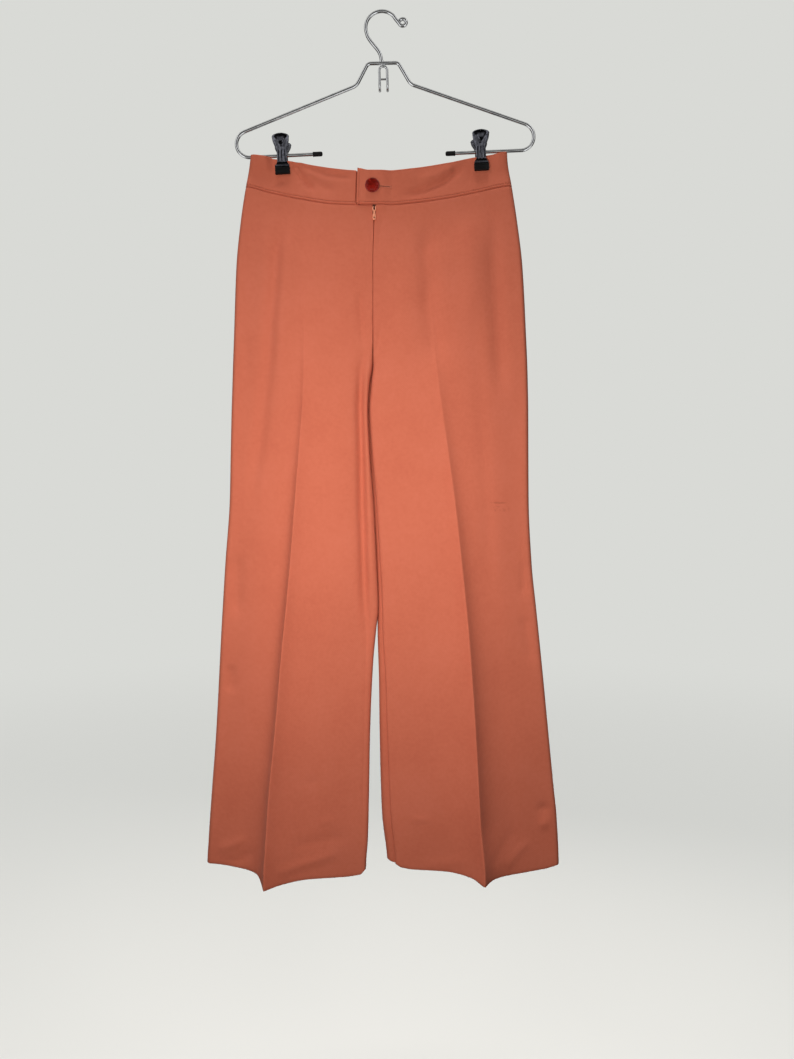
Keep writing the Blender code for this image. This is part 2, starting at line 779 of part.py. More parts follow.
def build_zip(tape, painted):
    """The tape behind the centre seam, the slider at its top and the pull tab hanging in front."""
    cells = 11
    half_slit = TAPE_SLIT / 2
    across = (-TAPE_HALF_WIDTH, -half_slit, half_slit, TAPE_HALF_WIDTH)
    outer = []
    inner = []
    for index in range(cells + 1):
        z = ZIP_TOP_Z - ZIP_LENGTH * index / cells
        behind = -front_face(z) + CLOTH + SEAM_GAP
        outer.append([(CENTRE_X + x, behind, z) for x in across])
        inner.append([(CENTRE_X + x, behind + TAPE, z) for x in across])
    wall("zip_tape", outer, inner, tape, missing=[(0, 1)])

    face = front_face(PULL_PIVOT_Z)
    pivot_depth = face + PULL_STAND
    behind = -face + CLOTH + SEAM_GAP + TAPE + SEAM_GAP + SLIDER_GAP
    low = (CENTRE_X - SLIDER_HALF_WIDTH, behind, PULL_PIVOT_Z - SLIDER_DROP)
    high = (CENTRE_X + SLIDER_HALF_WIDTH, behind + SLIDER_THICKNESS, PULL_PIVOT_Z + SLIDER_RISE)
    slider = box("zip_slider", low, high, painted, bevel=0.5)
    half = CROWN_WIDTH / 2
    crown_low = (CENTRE_X - half, -pivot_depth - CROWN_REACH, PULL_PIVOT_Z - CROWN_DROP)
    crown_high = (CENTRE_X + half, behind + SLIDER_THICKNESS / 2, PULL_PIVOT_Z + CROWN_RISE)
    crown = box("zip_crown_shape", crown_low, crown_high, painted)
    hole_depth, hole_rise = CROWN_HOLE
    hole_low = (CENTRE_X - SLIDER_HALF_WIDTH, -pivot_depth - hole_depth, PULL_PIVOT_Z - hole_rise)
    hole_high = (CENTRE_X + SLIDER_HALF_WIDTH, -pivot_depth + hole_depth, PULL_PIVOT_Z + hole_rise)
    hole = box("zip_crown_hole", hole_low, hole_high, painted)
    join_shapes(slider, crown, "UNION")
    join_shapes(slider, hole, "DIFFERENCE")

    build_pull(painted, (CENTRE_X, -pivot_depth, PULL_PIVOT_Z))


def build_pull(painted, pivot):
    """The pull tab: a loop round the slider's crown, a neck, and a rounded end with a hole."""
    outline = (
        (2.5, PULL_BAR), (2.5, -4.6), (1.35, -6.2), (1.35, -8.6), (1.9, -10.5), (2.1, -14.0),
        (2.05, -16.4), (1.5, -17.9), (0.6, -18.6),
    )
    points = [*outline, *((-x, z) for x, z in reversed(outline))]
    shape = bmesh.new()
    half = PULL_THICKNESS / 2
    ring = [shape.verts.new(Vector((x, -half, z)) * MM) for x, z in points]
    face = shape.faces.new(ring)
    grown = bmesh.ops.extrude_face_region(shape, geom=[face])
    moved = [item for item in grown["geom"] if isinstance(item, bmesh.types.BMVert)]
    bmesh.ops.translate(shape, verts=moved, vec=Vector((0, PULL_THICKNESS, 0)) * MM)
    pull = finish("zip_pull", shape, painted)
    pull.location = Vector(pivot) * MM
    x, y, z = pivot
    through = 3.0
    side = CROWN_WIDTH / 2 + CROWN_CLEARANCE
    window_low = (x - side, y - through, z - PULL_WINDOW)
    window_high = (x + side, y + through, z - PULL_BAR)
    window = box("zip_pull_window", window_low, window_high, painted)
    join_shapes(pull, window, "DIFFERENCE")
    profile = ((PULL_EYE_RADIUS, -through), (PULL_EYE_RADIUS, through))
    eye = turned("zip_pull_eye", profile, painted, sides=12, capped=True)
    eye.location = Vector((x, y, z - PULL_EYE_DROP)) * MM
    join_shapes(pull, eye, "DIFFERENCE")


def turned(name, profile, material, sides=32, capped=False):
    """A round piece about the Y axis, from (radius, along) places; capped closes the two ends flat."""
    shape = bmesh.new()
    points = list(profile)
    if capped:
        points = [(0.0, points[0][1]), *points, (0.0, points[-1][1])]
    verts = [shape.verts.new(Vector((radius, along, 0)) * MM) for radius, along in points]
    edges = [shape.edges.new(pair) for pair in zip(verts, verts[1:])]
    bmesh.ops.spin(shape, geom=verts + edges, cent=(0, 0, 0), axis=(0, 1, 0), angle=math.tau,
                   steps=sides, use_merge=True)
    bmesh.ops.remove_doubles(shape, verts=shape.verts, dist=0.01 * MM)
    return finish(name, shape, material, angle=32)


def build_button(glossy):
    """The rimmed button on its short shank, which stands on the tab."""
    x = BUTTON_X
    face = waist_depth(x, 0.5, True) + TAB_STEP
    profile = (
        (0.0, -BUTTON_HEIGHT + 0.6), (4.0, -BUTTON_HEIGHT + 0.5), (7.0, -BUTTON_HEIGHT + 0.2),
        (8.2, -BUTTON_HEIGHT), (9.3, -BUTTON_HEIGHT + 0.2), (BUTTON_RADIUS, -BUTTON_HEIGHT + 1.2),
        (BUTTON_RADIUS - 0.3, -BUTTON_HEIGHT + 2.0), (8.6, -1.2), (3.2, -1.0), (3.0, 0.0), (0.0, 0.0),
    )
    button = turned("button", profile, glossy)
    button.location = Vector((x, -face - SEAM_GAP, BUTTON_Z)) * MM


# The hanger

def tilted(x, z):
    """A place of the hanger's plane, turned about the hook's bearing point as the hanger hangs."""
    return (x * math.cos(TILT) - z * math.sin(TILT), x * math.sin(TILT) + z * math.cos(TILT))


def rounded(corners, steps=7):
    """A route through (x, z, radius) corners, each turned with an arc of its radius."""
    route = [corners[0][:2]]
    for before, corner, after in zip(corners, corners[1:], corners[2:]):
        here = Vector(corner[:2])
        back = (Vector(before[:2]) - here).normalized()
        ahead = (Vector(after[:2]) - here).normalized()
        opening = back.angle(ahead)
        length = corner[2] / math.tan(opening / 2)
        centre = here + (back + ahead).normalized() * corner[2] / math.sin(opening / 2)
        start = here + back * length - centre
        end = here + ahead * length - centre
        turn = start.angle_signed(end)
        for index in range(steps + 1):
            spoke = start.copy()
            spoke.rotate(Matrix.Rotation(-turn * index / steps, 2))
            route.append(tuple(centre + spoke))
    route.append(corners[-1][:2])
    return route


def wire(name, route, diameter, material, sides_level=3):
    """A round wire along world points, with filled ends."""
    data = bpy.data.curves.new(name, "CURVE")
    data.dimensions = "3D"
    data.bevel_depth = diameter / 2 * MM
    data.bevel_resolution = sides_level
    data.use_fill_caps = True
    spline = data.splines.new("POLY")
    spline.points.add(len(route) - 1)
    for point, place in zip(spline.points, route):
        point.co = (*(Vector(place) * MM), 1.0)
    spline.use_smooth = True
    data.materials.append(material)
    piece = bpy.data.objects.new(name, data)
    bpy.context.scene.collection.objects.link(piece)
    return piece


def frame_half(side):
    """One half of the frame, from the middle of its neck out along the arm and back to the bar's end."""
    shoulder = (38.5, -102.5)
    slope = 0.379
    arm_end = shoulder[1] - slope * (FRAME_HALF_WIDTH - shoulder[0])
    corners = (
        (0.0, NECK_Z, 0.0),
        (21.5, NECK_Z, 7.0),
        (*shoulder, 16.0),
        (FRAME_HALF_WIDTH, arm_end, 19.0),
        (FRAME_HALF_WIDTH, BAR_Z, 19.0),
        (BAR_END[side], BAR_INNER_Z[side], 0.0),
    )
    return [(side * x, z) for x, z in rounded(corners)]


def bar_line(side):
    """The bar's centre line in the world, as (x, z) under the frame's corner and (x, z) at its inner end."""
    return tilted(side * FRAME_HALF_WIDTH, BAR_Z), tilted(side * BAR_END[side], BAR_INNER_Z[side])


def bar_slope(side):
    """How far one bar rises towards +X, in radians."""
    outer, inner = bar_line(side)
    return math.atan((outer[1] - inner[1]) / (outer[0] - inner[0]))


def bar_height(side, x):
    """Height of one bar's centre at one place across the hanger."""
    outer, _ = bar_line(side)
    return outer[1] + (x - outer[0]) * math.tan(bar_slope(side))


def hook_route():
    """From the weld on the neck up round the hook to its curled end."""
    neck = ((-2.0, NECK_Z + WIRE / 2 + SEAM_GAP), (-2.9, -61.0), (-8.4, -50.6), (-16.2, -40.6), (-20.9, -32.8))
    route = list(neck)
    for angle in range(195, 44, -10):
        turn = math.radians(angle)
        route.append((HOOK_RADIUS * math.cos(turn), WIRE / 2 - HOOK_RADIUS + HOOK_RADIUS * math.sin(turn)))
    eye_x = 29.6
    eye_z = -14.4
    eye_radius = 4.9
    route += ((18.4, -7.6), (22.6, -13.6))
    for angle in range(-130, 111, 24):
        turn = math.radians(angle)
        route.append((eye_x + eye_radius * math.cos(turn), eye_z + eye_radius * math.sin(turn)))
    return route


def build_hanger(chrome, rubber):
    """The frame wire, the hook, the small cascade hook under the neck and the bars' rubber tips."""
    right = frame_half(1)
    left = frame_half(-1)[::-1]
    flat = [tilted(x, z) for x, z in left + right[1:]]
    wire("hanger_frame", [(x, 0.0, z) for x, z in flat], WIRE, chrome)
    hook = [tilted(x, z) for x, z in hook_route()]
    wire("hanger_hook", [(x, 0.0, z) for x, z in hook], WIRE, chrome)

    prong = CASCADE_PRONG
    bend = CASCADE_BEND
    arch_z = NECK_Z - WIRE / 2 - SEAM_GAP - CASCADE_WIRE / 2 - prong
    bend_z = arch_z - CASCADE_SHANK
    half = []
    for angle in range(90, -1, -30):
        turn = math.radians(angle)
        half.append((prong * math.cos(turn), 0.0, arch_z + prong * math.sin(turn)))
    for angle in range(0, 181, 30):
        turn = math.radians(angle)
        half.append((prong, bend * math.cos(turn) - bend, bend_z - bend * math.sin(turn)))
    half.append((prong, -2 * bend, bend_z + CASCADE_TIP))
    whole = [(-x, y, z) for x, y, z in reversed(half)] + half[1:]
    placed = [(tilted(x, z)[0], y, tilted(x, z)[1]) for x, y, z in whole]
    wire("hanger_cascade_hook", placed, CASCADE_WIRE, chrome, sides_level=2)
    rung = prong - CASCADE_WIRE / 2 - SEAM_GAP
    ends = [tilted(x, arch_z - CASCADE_SHANK / 2) for x in (-rung, rung)]
    wire("hanger_cascade_rung", [(x, 0.0, z) for x, z in ends], RUNG_WIRE, chrome, sides_level=2)

    for side, name in ((-1, "hanger_tip_right"), (1, "hanger_tip_left")):
        start = bar_line(side)[1][0] - side * SEAM_GAP
        steps = (0.0, TIP_LENGTH - 2.0, TIP_LENGTH)
        radii = (1.0, 1.0, 0.55)
        ends = [(start - side * step, bar_height(side, start - side * step)) for step in steps]
        tip = wire(name, [(x, 0.0, z) for x, z in ends], 2 * TIP_RADIUS, rubber, sides_level=2)
        for point, radius in zip(tip.data.splines[0].points, radii):
            point.radius = radius


# The clips

class LeafRow(NamedTuple):
    """One row of a clip's leaf: height above the bar, half its width, its depth and how far its ribs stand."""

    up: float
    half_width: float
    depth: float
    rib: float


LEAF_ROWS = (
    LeafRow(24.8, 5.6, 14.4, 0.0),
    LeafRow(23.4, 9.0, 14.2, 0.0),
    LeafRow(20.0, 11.3, 13.2, 0.2),
    LeafRow(16.4, 10.9, 11.8, 0.5),
    LeafRow(12.2, 9.4, 10.0, 0.7),
    LeafRow(8.0, 7.7, 7.8, 0.4),
    LeafRow(4.6, 6.9, 6.3, 0.3),
    LeafRow(2.2, 6.8, LEAF_DEPTH, 0.8),
    LeafRow(-9.6, 6.8, LEAF_DEPTH, 0.8),
    LeafRow(-12.0, 7.1, LEAF_DEPTH, 0.2),
    LeafRow(-15.4, 9.2, LEAF_DEPTH, 0.0),
    LeafRow(-18.0, 10.1, LEAF_DEPTH, 0.0),
)
LEAF_COLUMNS = 12
RIBS = 3


def leaf_grids(toward):
    """Outer and inner grids of a clip leaf about the bar; the ribs are pressed up across its width."""
    outer = []
    inner = []
    for row in LEAF_ROWS:
        outer_row = []
        inner_row = []
        for column in range(LEAF_COLUMNS + 1):
            across = 2 * column / LEAF_COLUMNS - 1
            rib = row.rib * (0.5 - 0.5 * math.cos(math.pi * RIBS * (across + 1)))
            curl = 1.6 * across**4 * ease((row.up - 2) / 12)
            depth = row.depth + rib - curl
            outer_row.append((row.half_width * across, toward * depth, row.up))
            inner_row.append((row.half_width * across, toward * (row.depth - curl - LEAF), row.up))
        outer.append(outer_row)
        inner.append(inner_row)
    return outer, inner


def spring_coil(name, material):
    """The spring's coil as a sleeve round the bar, along X."""
    inside = WIRE / 2 + SEAM_GAP
    outside = LEAF_DEPTH - LEAF - SEAM_GAP
    half = SPRING_WIDTH / 2
    profile = ((inside, -half), (outside, -half), (outside, half), (inside, half), (inside, -half))
    coil = turned(name, profile, material, sides=24)
    return coil


def build_clips(dark, rubber):
    """Two trouser clips on the bars, each of two leaves, a spring and two rubber pads."""
    for side, label in ((-1, "right"), (1, "left")):
        x = CENTRE_X + side * CLIP_REACH[side]
        seat = Vector((x, 0.0, bar_height(side, x))) * MM
        slope = bar_slope(side)
        for toward, face in ((-1, "front"), (1, "back")):
            outer, inner = leaf_grids(toward)
            leaf = wall(f"clip_{label}_{face}_leaf", outer, inner, dark)
            leaf.location = seat
            leaf.rotation_euler = (0.0, -slope, 0.0)
            top = LEAF_ROWS[-1].up - SEAM_GAP
            near = toward * (GRIP_DEPTH + SEAM_GAP)
            far = near + toward * PAD_DEPTH
            low = (-PAD_HALF_WIDTH, min(near, far), top - PAD_HEIGHT)
            high = (PAD_HALF_WIDTH, max(near, far), top)
            pad = box(f"clip_{label}_{face}_pad", low, high, rubber, bevel=0.8)
            pad.location = seat
            pad.rotation_euler = (0.0, -slope, 0.0)
        coil = spring_coil(f"clip_{label}_spring", dark)
        coil.location = seat
        coil.rotation_euler = (slope, 0.0, -math.pi / 2)


def main():
    """Clears the scene and builds every piece."""
    for item in list(bpy.data.objects):
        bpy.data.objects.remove(item, do_unlink=True)
    cloth = principled("coral_cloth", (0.55, 0.135, 0.078), 0.85)
    tape = principled("zip_tape_cloth", (0.42, 0.10, 0.06), 0.9)
    painted = principled("painted_metal", (0.78, 0.30, 0.19), 0.4)
    glossy = principled("red_button", (0.19, 0.007, 0.006), 0.15)
    chrome = principled("chrome_wire", (0.62, 0.62, 0.63), 0.15, 1.0)
    dark = principled("dark_chrome", (0.10, 0.10, 0.12), 0.2, 1.0)
    rubber = principled("black_rubber", (0.012, 0.012, 0.012), 0.6)
    build_legs(cloth)
    build_waistband(cloth)
    build_zip(tape, painted)
    build_button(glossy)
    build_hanger(chrome, rubber)
    build_clips(dark, rubber)


main()
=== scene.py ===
import logging
import math
from dataclasses import dataclass
from enum import Enum
from typing import Any, NamedTuple, Sequence

import bmesh
import bpy
import numpy as np
from mathutils import Matrix, Vector


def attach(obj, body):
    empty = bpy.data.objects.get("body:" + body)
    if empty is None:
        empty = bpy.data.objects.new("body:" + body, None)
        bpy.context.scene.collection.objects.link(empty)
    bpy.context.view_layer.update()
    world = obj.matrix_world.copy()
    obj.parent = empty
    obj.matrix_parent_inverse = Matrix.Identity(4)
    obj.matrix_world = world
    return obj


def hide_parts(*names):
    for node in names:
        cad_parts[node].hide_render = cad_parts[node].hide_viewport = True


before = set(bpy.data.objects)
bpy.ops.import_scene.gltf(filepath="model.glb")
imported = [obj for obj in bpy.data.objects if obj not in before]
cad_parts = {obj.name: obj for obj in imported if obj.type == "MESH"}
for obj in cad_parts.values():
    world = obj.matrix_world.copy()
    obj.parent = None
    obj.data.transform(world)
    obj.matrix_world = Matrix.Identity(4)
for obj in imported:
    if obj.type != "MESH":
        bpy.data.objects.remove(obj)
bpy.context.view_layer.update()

LOG = logging.getLogger("trousers")
Array = np.ndarray
Material = bpy.types.Material
Piece = bpy.types.Object
Shape = bmesh.types.BMesh
Socket = bpy.types.NodeSocket
Tree = bpy.types.NodeTree

MM = 0.001
PHOTO_SIZE = (794, 1059)
PHOTO_FOCAL = 796.0
CAMERA_PLACE = (0.0219, -1.131, -0.734)

# Sizes the cloth takes from the solids, in millimetres.
CENTRE_X = -10.0
WAIST_Z = -202.0
LEG_TOP_Z = -262.0
HEM_Z = -1212.0
CROTCH_Z = -503.0
CURVE_START_Z = {True: -462.0, False: -446.0}
SIDE_ROLL = 7.0
INSEAM_ROLL = 8.0
CLIP_REACH = {-1: 131.0, 1: 150.4}
GRIP_DEPTH = 3.0
END_DEPTH = 4.2
END_REACH = {-1: 142.5, 1: 165.0}
END_RUN = 12.0
END_FORWARD = {-1: 7.3, 1: 3.2}
END_FADE = 34.0
PINCH_HALF_WIDTH = 16.0
TAB_REACH = 25.0
TAB_STEP = 2.7
LAP_REACH = 10.0
LAP_EASE = 16.0
LAP_FADE = 12.0
UNDERLAP_REACH = 9.0
SLOT_HALF = 1.9
SLOT_LENGTH = 24.0
BACK_BAND_RISE = 10.0
TAB_CORNER_RISE = 2.6
HEM_BACK_LIFT = 2.0
SEAM_HALF = 0.12
BAND_BOW = {True: 13.0, False: 11.5}
RELAXED_DEPTH = 8.0
RELAXED_BOW = {True: 9.0, False: 7.5}
UNDER_BAND_RUN = 95.0
CLOTH_WALL = 1.8
TAPE_WALL = 0.9

# Edges and pressed crease of each leg: drop below the waist, then reach of side, crease, inseam and overhang.
OUTLINES = {
    -1: (
        (0, 174.5, 106, 0, 0), (43, 182.2, 103, 0, 0), (94, 189.8, 101, 0.4, 0),
        (160, 196, 99, 1.8, 0), (261, 199.4, 98, 1.6, 0), (301, 200.8, 97.6, 2, 0),
        (328, 201.6, 97.6, 6.2, 0), (362, 202.7, 99, 8.4, 0), (421, 204, 103.3, 6, 0),
        (490, 205.4, 108.4, 0.8, 0), (581, 211.8, 115.2, -3.8, 0), (643, 215.5, 120.6, -6, 0),
        (672, 217.2, 123.4, -3, 0), (718, 219.5, 127.6, 1.4, 0), (780, 222.6, 132.3, 4.6, 0),
        (838, 226, 137.3, 6.4, 0), (888, 229.8, 142, 7.2, 0), (970, 235.4, 146.8, 9, 0),
        (1010, 237.4, 148.6, 11.6, 0),
    ),
    1: (
        (0, 188, 78, 0, 0), (47, 195.2, 76, 0, 0), (94, 202.3, 74.8, -0.4, 0),
        (160, 210, 76.2, -1.8, 0), (261, 215.2, 83, -1.6, 0), (301, 216.9, 86.5, -2, 0),
        (328, 217.6, 89.5, -4.8, 0), (362, 218.2, 94, -7, 0), (421, 218.4, 102, -4, 0.6),
        (490, 218.8, 111.2, 2, 1.8), (581, 223.1, 121, 7.6, 4), (643, 229.4, 127.2, 10.8, 6),
        (672, 232.4, 129.8, 11.4, 6.6), (747, 239.9, 135.2, 15.4, 8.6), (815, 246.4, 139.4, 17.6, 10),
        (895, 254.1, 143.4, 20.8, 11.4), (938, 258.4, 145.6, 23.2, 12), (1010, 261.6, 151.2, 29.4, 10.8),
    ),
}

# How far the cloth stands off: drop, then depth at side, outer, crease, inner and inseam, and the crease's height.
DEPTHS = {
    True: (
        (60, 8, 13, 16, 17, 17, 0), (110, 9.5, 15, 18, 18.5, 18.5, 0.2),
        (178, 11, 17.5, 21, 21, 20, 0.6), (261, 12, 19, 23, 23, 21, 2.2),
        (362, 11, 18, 22.5, 22, 19, 6.4), (490, 10, 17, 21.5, 21, 16, 11.5),
        (643, 9, 15, 21.5, 20, 14, 17), (800, 8.5, 14, 22.5, 19.5, 12.5, 22),
        (940, 8, 14, 24.5, 19.5, 12, 26), (1010, 8, 14, 26, 19.5, 12, 29),
    ),
    False: (
        (60, 8, 12, 14.5, 15.5, 15.5, 0), (110, 9.5, 14, 17, 18, 18, 0),
        (178, 11, 17, 20.5, 21.5, 21, 0.6), (261, 12, 18.5, 22, 22.5, 21, 1.6),
        (362, 11, 17.5, 20.5, 20.5, 18, 3), (490, 10, 16.5, 19, 19, 15.5, 4.6),
        (643, 9, 15, 18, 17.5, 13.5, 6), (800, 8.5, 14, 17, 16.5, 12, 7.6),
        (1010, 8, 13, 16, 15.5, 11.5, 9.6),
    ),
}

# Front waistband edges: reach to the viewer's right, then the heights of its top and its foot.
BAND_EDGES = (
    (-186, -205.4, -248.6), (-147, -208.3, -257.8), (-108, -213.4, -266), (-57, -225, -275.6),
    (-15, -230.6, -278.2), (12, -231, -278.6), (57, -225.8, -274.6), (104, -215.7, -266.2),
    (141, -206.6, -257.8), (195, -200.4, -247.8),
)

# Front hems from the inseam out: reach, then height.
HEMS = {
    -1: (
        (11.6, -1213.5), (20, -1219.5), (44, -1222.2), (94, -1221), (127, -1222.4),
        (148.6, -1223.8), (163, -1212.4), (185, -1209.8), (237.4, -1205.5),
    ),
    1: (
        (29.4, -1205.5), (38, -1209.4), (56, -1211.6), (105, -1210), (135, -1212.4),
        (151.2, -1218.6), (167, -1217), (190, -1217.2), (240, -1213), (261.6, -1208),
    ),
}


class Fold(NamedTuple):
    """A soft ridge (height above 0) or trough (below 0) along points (x, z) of the cloth."""

    points: tuple[tuple[float, float], ...]
    width: float
    height: float


FRONT_FOLDS = (
    # Drag lines from the clips across the waistband.
    Fold(((-140, -236), (-148, -245.5), (-157, -252.5)), 6, -1),
    Fold(((-126, -212), (-114, -231), (-105.8, -243.6), (-92.2, -258.9)), 5.4, -3.4),
    Fold(((-116, -215.5), (-78.5, -230.5), (-34.1, -239)), 6.4, -3),
    Fold(((-106.2, -233.5), (-86, -247), (-64.8, -258.8)), 6, -1.5),
    Fold(((118, -220), (102, -231), (85.3, -243.6), (58.1, -257.2), (27.4, -267.5)), 5.6, -2.8),
    Fold(((104, -222), (76, -236), (50, -245)), 8, 1.6),
    Fold(((-118, -240), (-98, -262)), 6, 0.9),
    # Hip folds of the wearer's right leg.
    Fold(((-138.6, -270), (-141.8, -305.4), (-147, -335.8), (-150.3, -393.3), (-155.4, -444.1),
                (-157, -488), (-163.9, -545.6), (-168.9, -596.2), (-179.1, -663.9), (-186, -720)), 9, -5),
    Fold(((-126, -300), (-134, -360), (-140, -440), (-146, -540)), 10, 2.2),
    Fold(((-108.1, -300), (-109.8, -352.7), (-113.1, -427.3), (-108.1, -500)), 11, -1.6),
    Fold(((-187.5, -460.9), (-192.6, -521.4)), 4.5, -1.2),
    Fold(((-203, -770), (-205, -860)), 9, -2.4),
    Fold(((-212.5, -925), (-213.5, -965)), 8, -1.8),
    # The inner trough of the wearer's right thigh.
    Fold(((-30.2, -400), (-27.6, -450), (-24, -482)), 5, -2.4),
    Fold(((-23, -478), (-28.5, -511.8), (-30.2, -562.4), (-28.5, -630), (-27.9, -697),
                (-25.6, -770), (-24.3, -824.9), (-22.5, -861.4), (-18.9, -905)), 5.8, -7.6),
    Fold(((-19, -520), (-18.6, -640), (-16, -760), (-13.6, -860)), 5, 1.6),
    # The line pressed along its inseam.
    Fold(((-19.2, -790), (-21.4, -900), (-24.4, -1040), (-27.4, -1204)), 1.7, -0.9),
    # Hip folds of the wearer's left leg.
    Fold(((66.1, -300), (62.8, -346), (68, -379.8), (66.1, -420.4), (74.7, -471.2),
                (80, -520)), 14, -6),
    Fold(((142, -268), (157, -294), (163, -330)), 6, -1.4),
    Fold(((120, -290), (124, -360), (126, -450)), 14, 2.2),
    Fold(((156, -300), (160, -380), (164, -470), (170, -560)), 12, -4.4),
    Fold(((131, -400), (139, -560), (150, -720), (152, -830)), 10, -1.2),
    Fold(((24, -380), (30, -440), (34, -486)), 12, 1.2),
    Fold(((203.3, -780), (203, -830)), 7, -1.7),
    Fold(((200, -855), (206, -885), (214.5, -925)), 7, -1.5),
    Fold(((222, -1122), (229.3, -1127.9), (238, -1130)), 6, -1.5),
    Fold(((222, -1150), (238, -1148)), 6, 1.4),
    # Puckers at the top of the front seam and beside its fork.
    Fold(((2, -292), (-2.6, -318), (-6.4, -346)), 4, -1.1),
    Fold(((-26, -292), (-18, -330), (-14.6, -360)), 4, 0.8),
    Fold(((-15.4, -425), (-13, -455), (-11.4, -482)), 3, 1.2),
    Fold(((-2.6, -455), (-5.2, -475), (-8.6, -492)), 3, -1.2),
    # Turned-up hems.
    Fold(((-232, -1186), (-208, -1177), (-188, -1165)), 5.4, 0.9),
    Fold(((-226, -1206), (-196, -1196), (-172, -1180)), 6, -0.7),
    Fold(((-146, -1206), (-104, -1198), (-55.3, -1186.2)), 6, 0.9),
    Fold(((-124, -1174), (-84, -1168), (-44, -1164)), 8, -0.6),
    Fold(((174.6, -1206), (190, -1188), (208, -1171)), 5.6, 0.8),
    Fold(((152, -1198), (168, -1180), (186, -1150)), 7, -0.6),
    Fold(((60, -1204), (96, -1196), (124, -1188)), 7, 0.5),
    Fold(((41.4, -1139.5), (68.8, -1139)), 2.6, 0.7),
    Fold(((-87, -1142), (-63, -1142)), 2.6, 0.6),
    Fold(((-106.5, -1086), (-84, -1085)), 3, -0.6),
)

BACK_FOLDS = (
    # Drag lines from the clips, the seat's smile folds and slack down the thighs.
    Fold(((-128, -214), (-112, -234), (-92, -252), (-64, -262)), 5, -1.9),
    Fold(((122, -218), (98, -238), (70, -252), (34, -258)), 5, -1.9),
    Fold(((-144, -240), (-158, -256)), 4, -1.2),
    Fold(((-134, -275), (-138, -340), (-146, -420), (-150, -520), (-160, -620)), 8, -2.8),
    Fold(((138, -272), (134, -330), (142, -410), (150, -520)), 8, -2.6),
    Fold(((-104, -282), (-108, -350), (-106, -440)), 9, -1.6),
    Fold(((84, -280), (80, -360), (86, -460)), 9, -1.7),
    Fold(((-24, -484), (-52, -520), (-74, -572), (-82, -640)), 9, -3),
    Fold(((-16, -520), (-40, -566), (-52, -620)), 7, -2),
    Fold(((8, -482), (34, -516), (56, -570), (62, -650)), 9, -3),
    Fold(((-2, -524), (20, -570), (34, -640)), 7, -2),
    Fold(((-34, -330), (-40, -400), (-30, -450)), 15, 1.6),
    Fold(((24, -340), (32, -400), (20, -450)), 15, 1.6),
    Fold(((-190, -700), (-198, -800), (-204, -900)), 9, -1.9),
    Fold(((196, -740), (204, -840)), 9, -1.9),
    Fold(((-70, -760), (-76, -880), (-80, -980)), 13, -1.3),
    Fold(((70, -720), (84, -860), (90, -960)), 13, -1.3),
    Fold(((-226, -1192), (-200, -1180), (-176, -1166)), 6, 1.7),
    Fold(((100, -1198), (140, -1190), (182, -1170)), 7, 1.7),
    Fold(((-120, -1170), (-70, -1166)), 8, -1.3),
)

# Hanger and clip sizes taken from the solids, in millimetres.
WIRE = 4.8
TILT = math.radians(1.6)
HOOK_RADIUS = 23.2
NECK_Z = -71.5
BAR_Z = -200.6
BAR_INNER_Z = {-1: -198.2, 1: -202.4}
FRAME_HALF_WIDTH = 211.2
BAR_END = {-1: 102.6, 1: 98.4}
SOLID_GAP = 0.3


def to_linear(code: str) -> tuple[float, float, float, float]:
    """Turns an sRGB hex colour into linear values.

    Args:
        code: six hex digits after a hash.

    Returns:
        Linear red, green, blue and an alpha of 1.
    """
    parts = [int(code[i:i + 2], 16) / 255 for i in (1, 3, 5)]
    return (*(c / 12.92 if c <= 0.04045 else ((c + 0.055) / 1.055) ** 2.4 for c in parts), 1.0)


def ease(value: Array | float) -> Array:
    """A smooth step from 0 to 1 as the value goes from 0 to 1."""
    part = np.clip(value, 0.0, 1.0)
    return part * part * (3 - 2 * part)


def smooth_curve(places: Array, heights: Array, at: Array) -> Array:
    """A smooth curve that keeps between its knots and is level beyond its ends.

    Args:
        places: knots' places, rising, of shape (k,) or (k, *at.shape).
        heights: knots' heights, shaped as places.
        at: where to read the curve.

    Returns:
        The curve's height at each place.
    """
    at = np.asarray(at, float)
    shape = (len(places), *at.shape)
    spread = (len(places),) + (1,) * at.ndim
    places = np.broadcast_to(np.reshape(places, spread) if np.ndim(places) == 1 else places, shape)
    heights = np.broadcast_to(np.reshape(heights, spread) if np.ndim(heights) == 1 else heights, shape)
    rises = np.diff(heights, axis=0) / np.diff(places, axis=0)
    before, after = rises[:-1], rises[1:]
    total = np.where(np.abs(before + after) < 1e-12, 1.0, before + after)
    slopes = np.zeros(shape)
    slopes[1:-1] = np.where(before * after > 0, 2 * before * after / total, 0.0)
    index = np.clip((places <= at).sum(axis=0) - 1, 0, shape[0] - 2)[None]
    x0, x1 = (np.take_along_axis(places, index + i, 0)[0] for i in (0, 1))
    h0, h1 = (np.take_along_axis(heights, index + i, 0)[0] for i in (0, 1))
    s0, s1 = (np.take_along_axis(slopes, index + i, 0)[0] for i in (0, 1))
    span = x1 - x0
    t = np.clip((at - x0) / span, 0.0, 1.0)
    rise = (2 * t**3 - 3 * t**2 + 1) * h0 + (3 * t**2 - 2 * t**3) * h1
    return rise + span * ((t**3 - 2 * t**2 + t) * s0 + (t**3 - t**2) * s1)


def table_at(rows: Sequence[Sequence[float]], at: Array) -> list[Array]:
    """Reads every column of a table at some places of its first column, each smoothed on its own."""
    data = np.array(rows, float)
    return [smooth_curve(data[:, 0], data[:, i], at) for i in range(1, data.shape[1])]


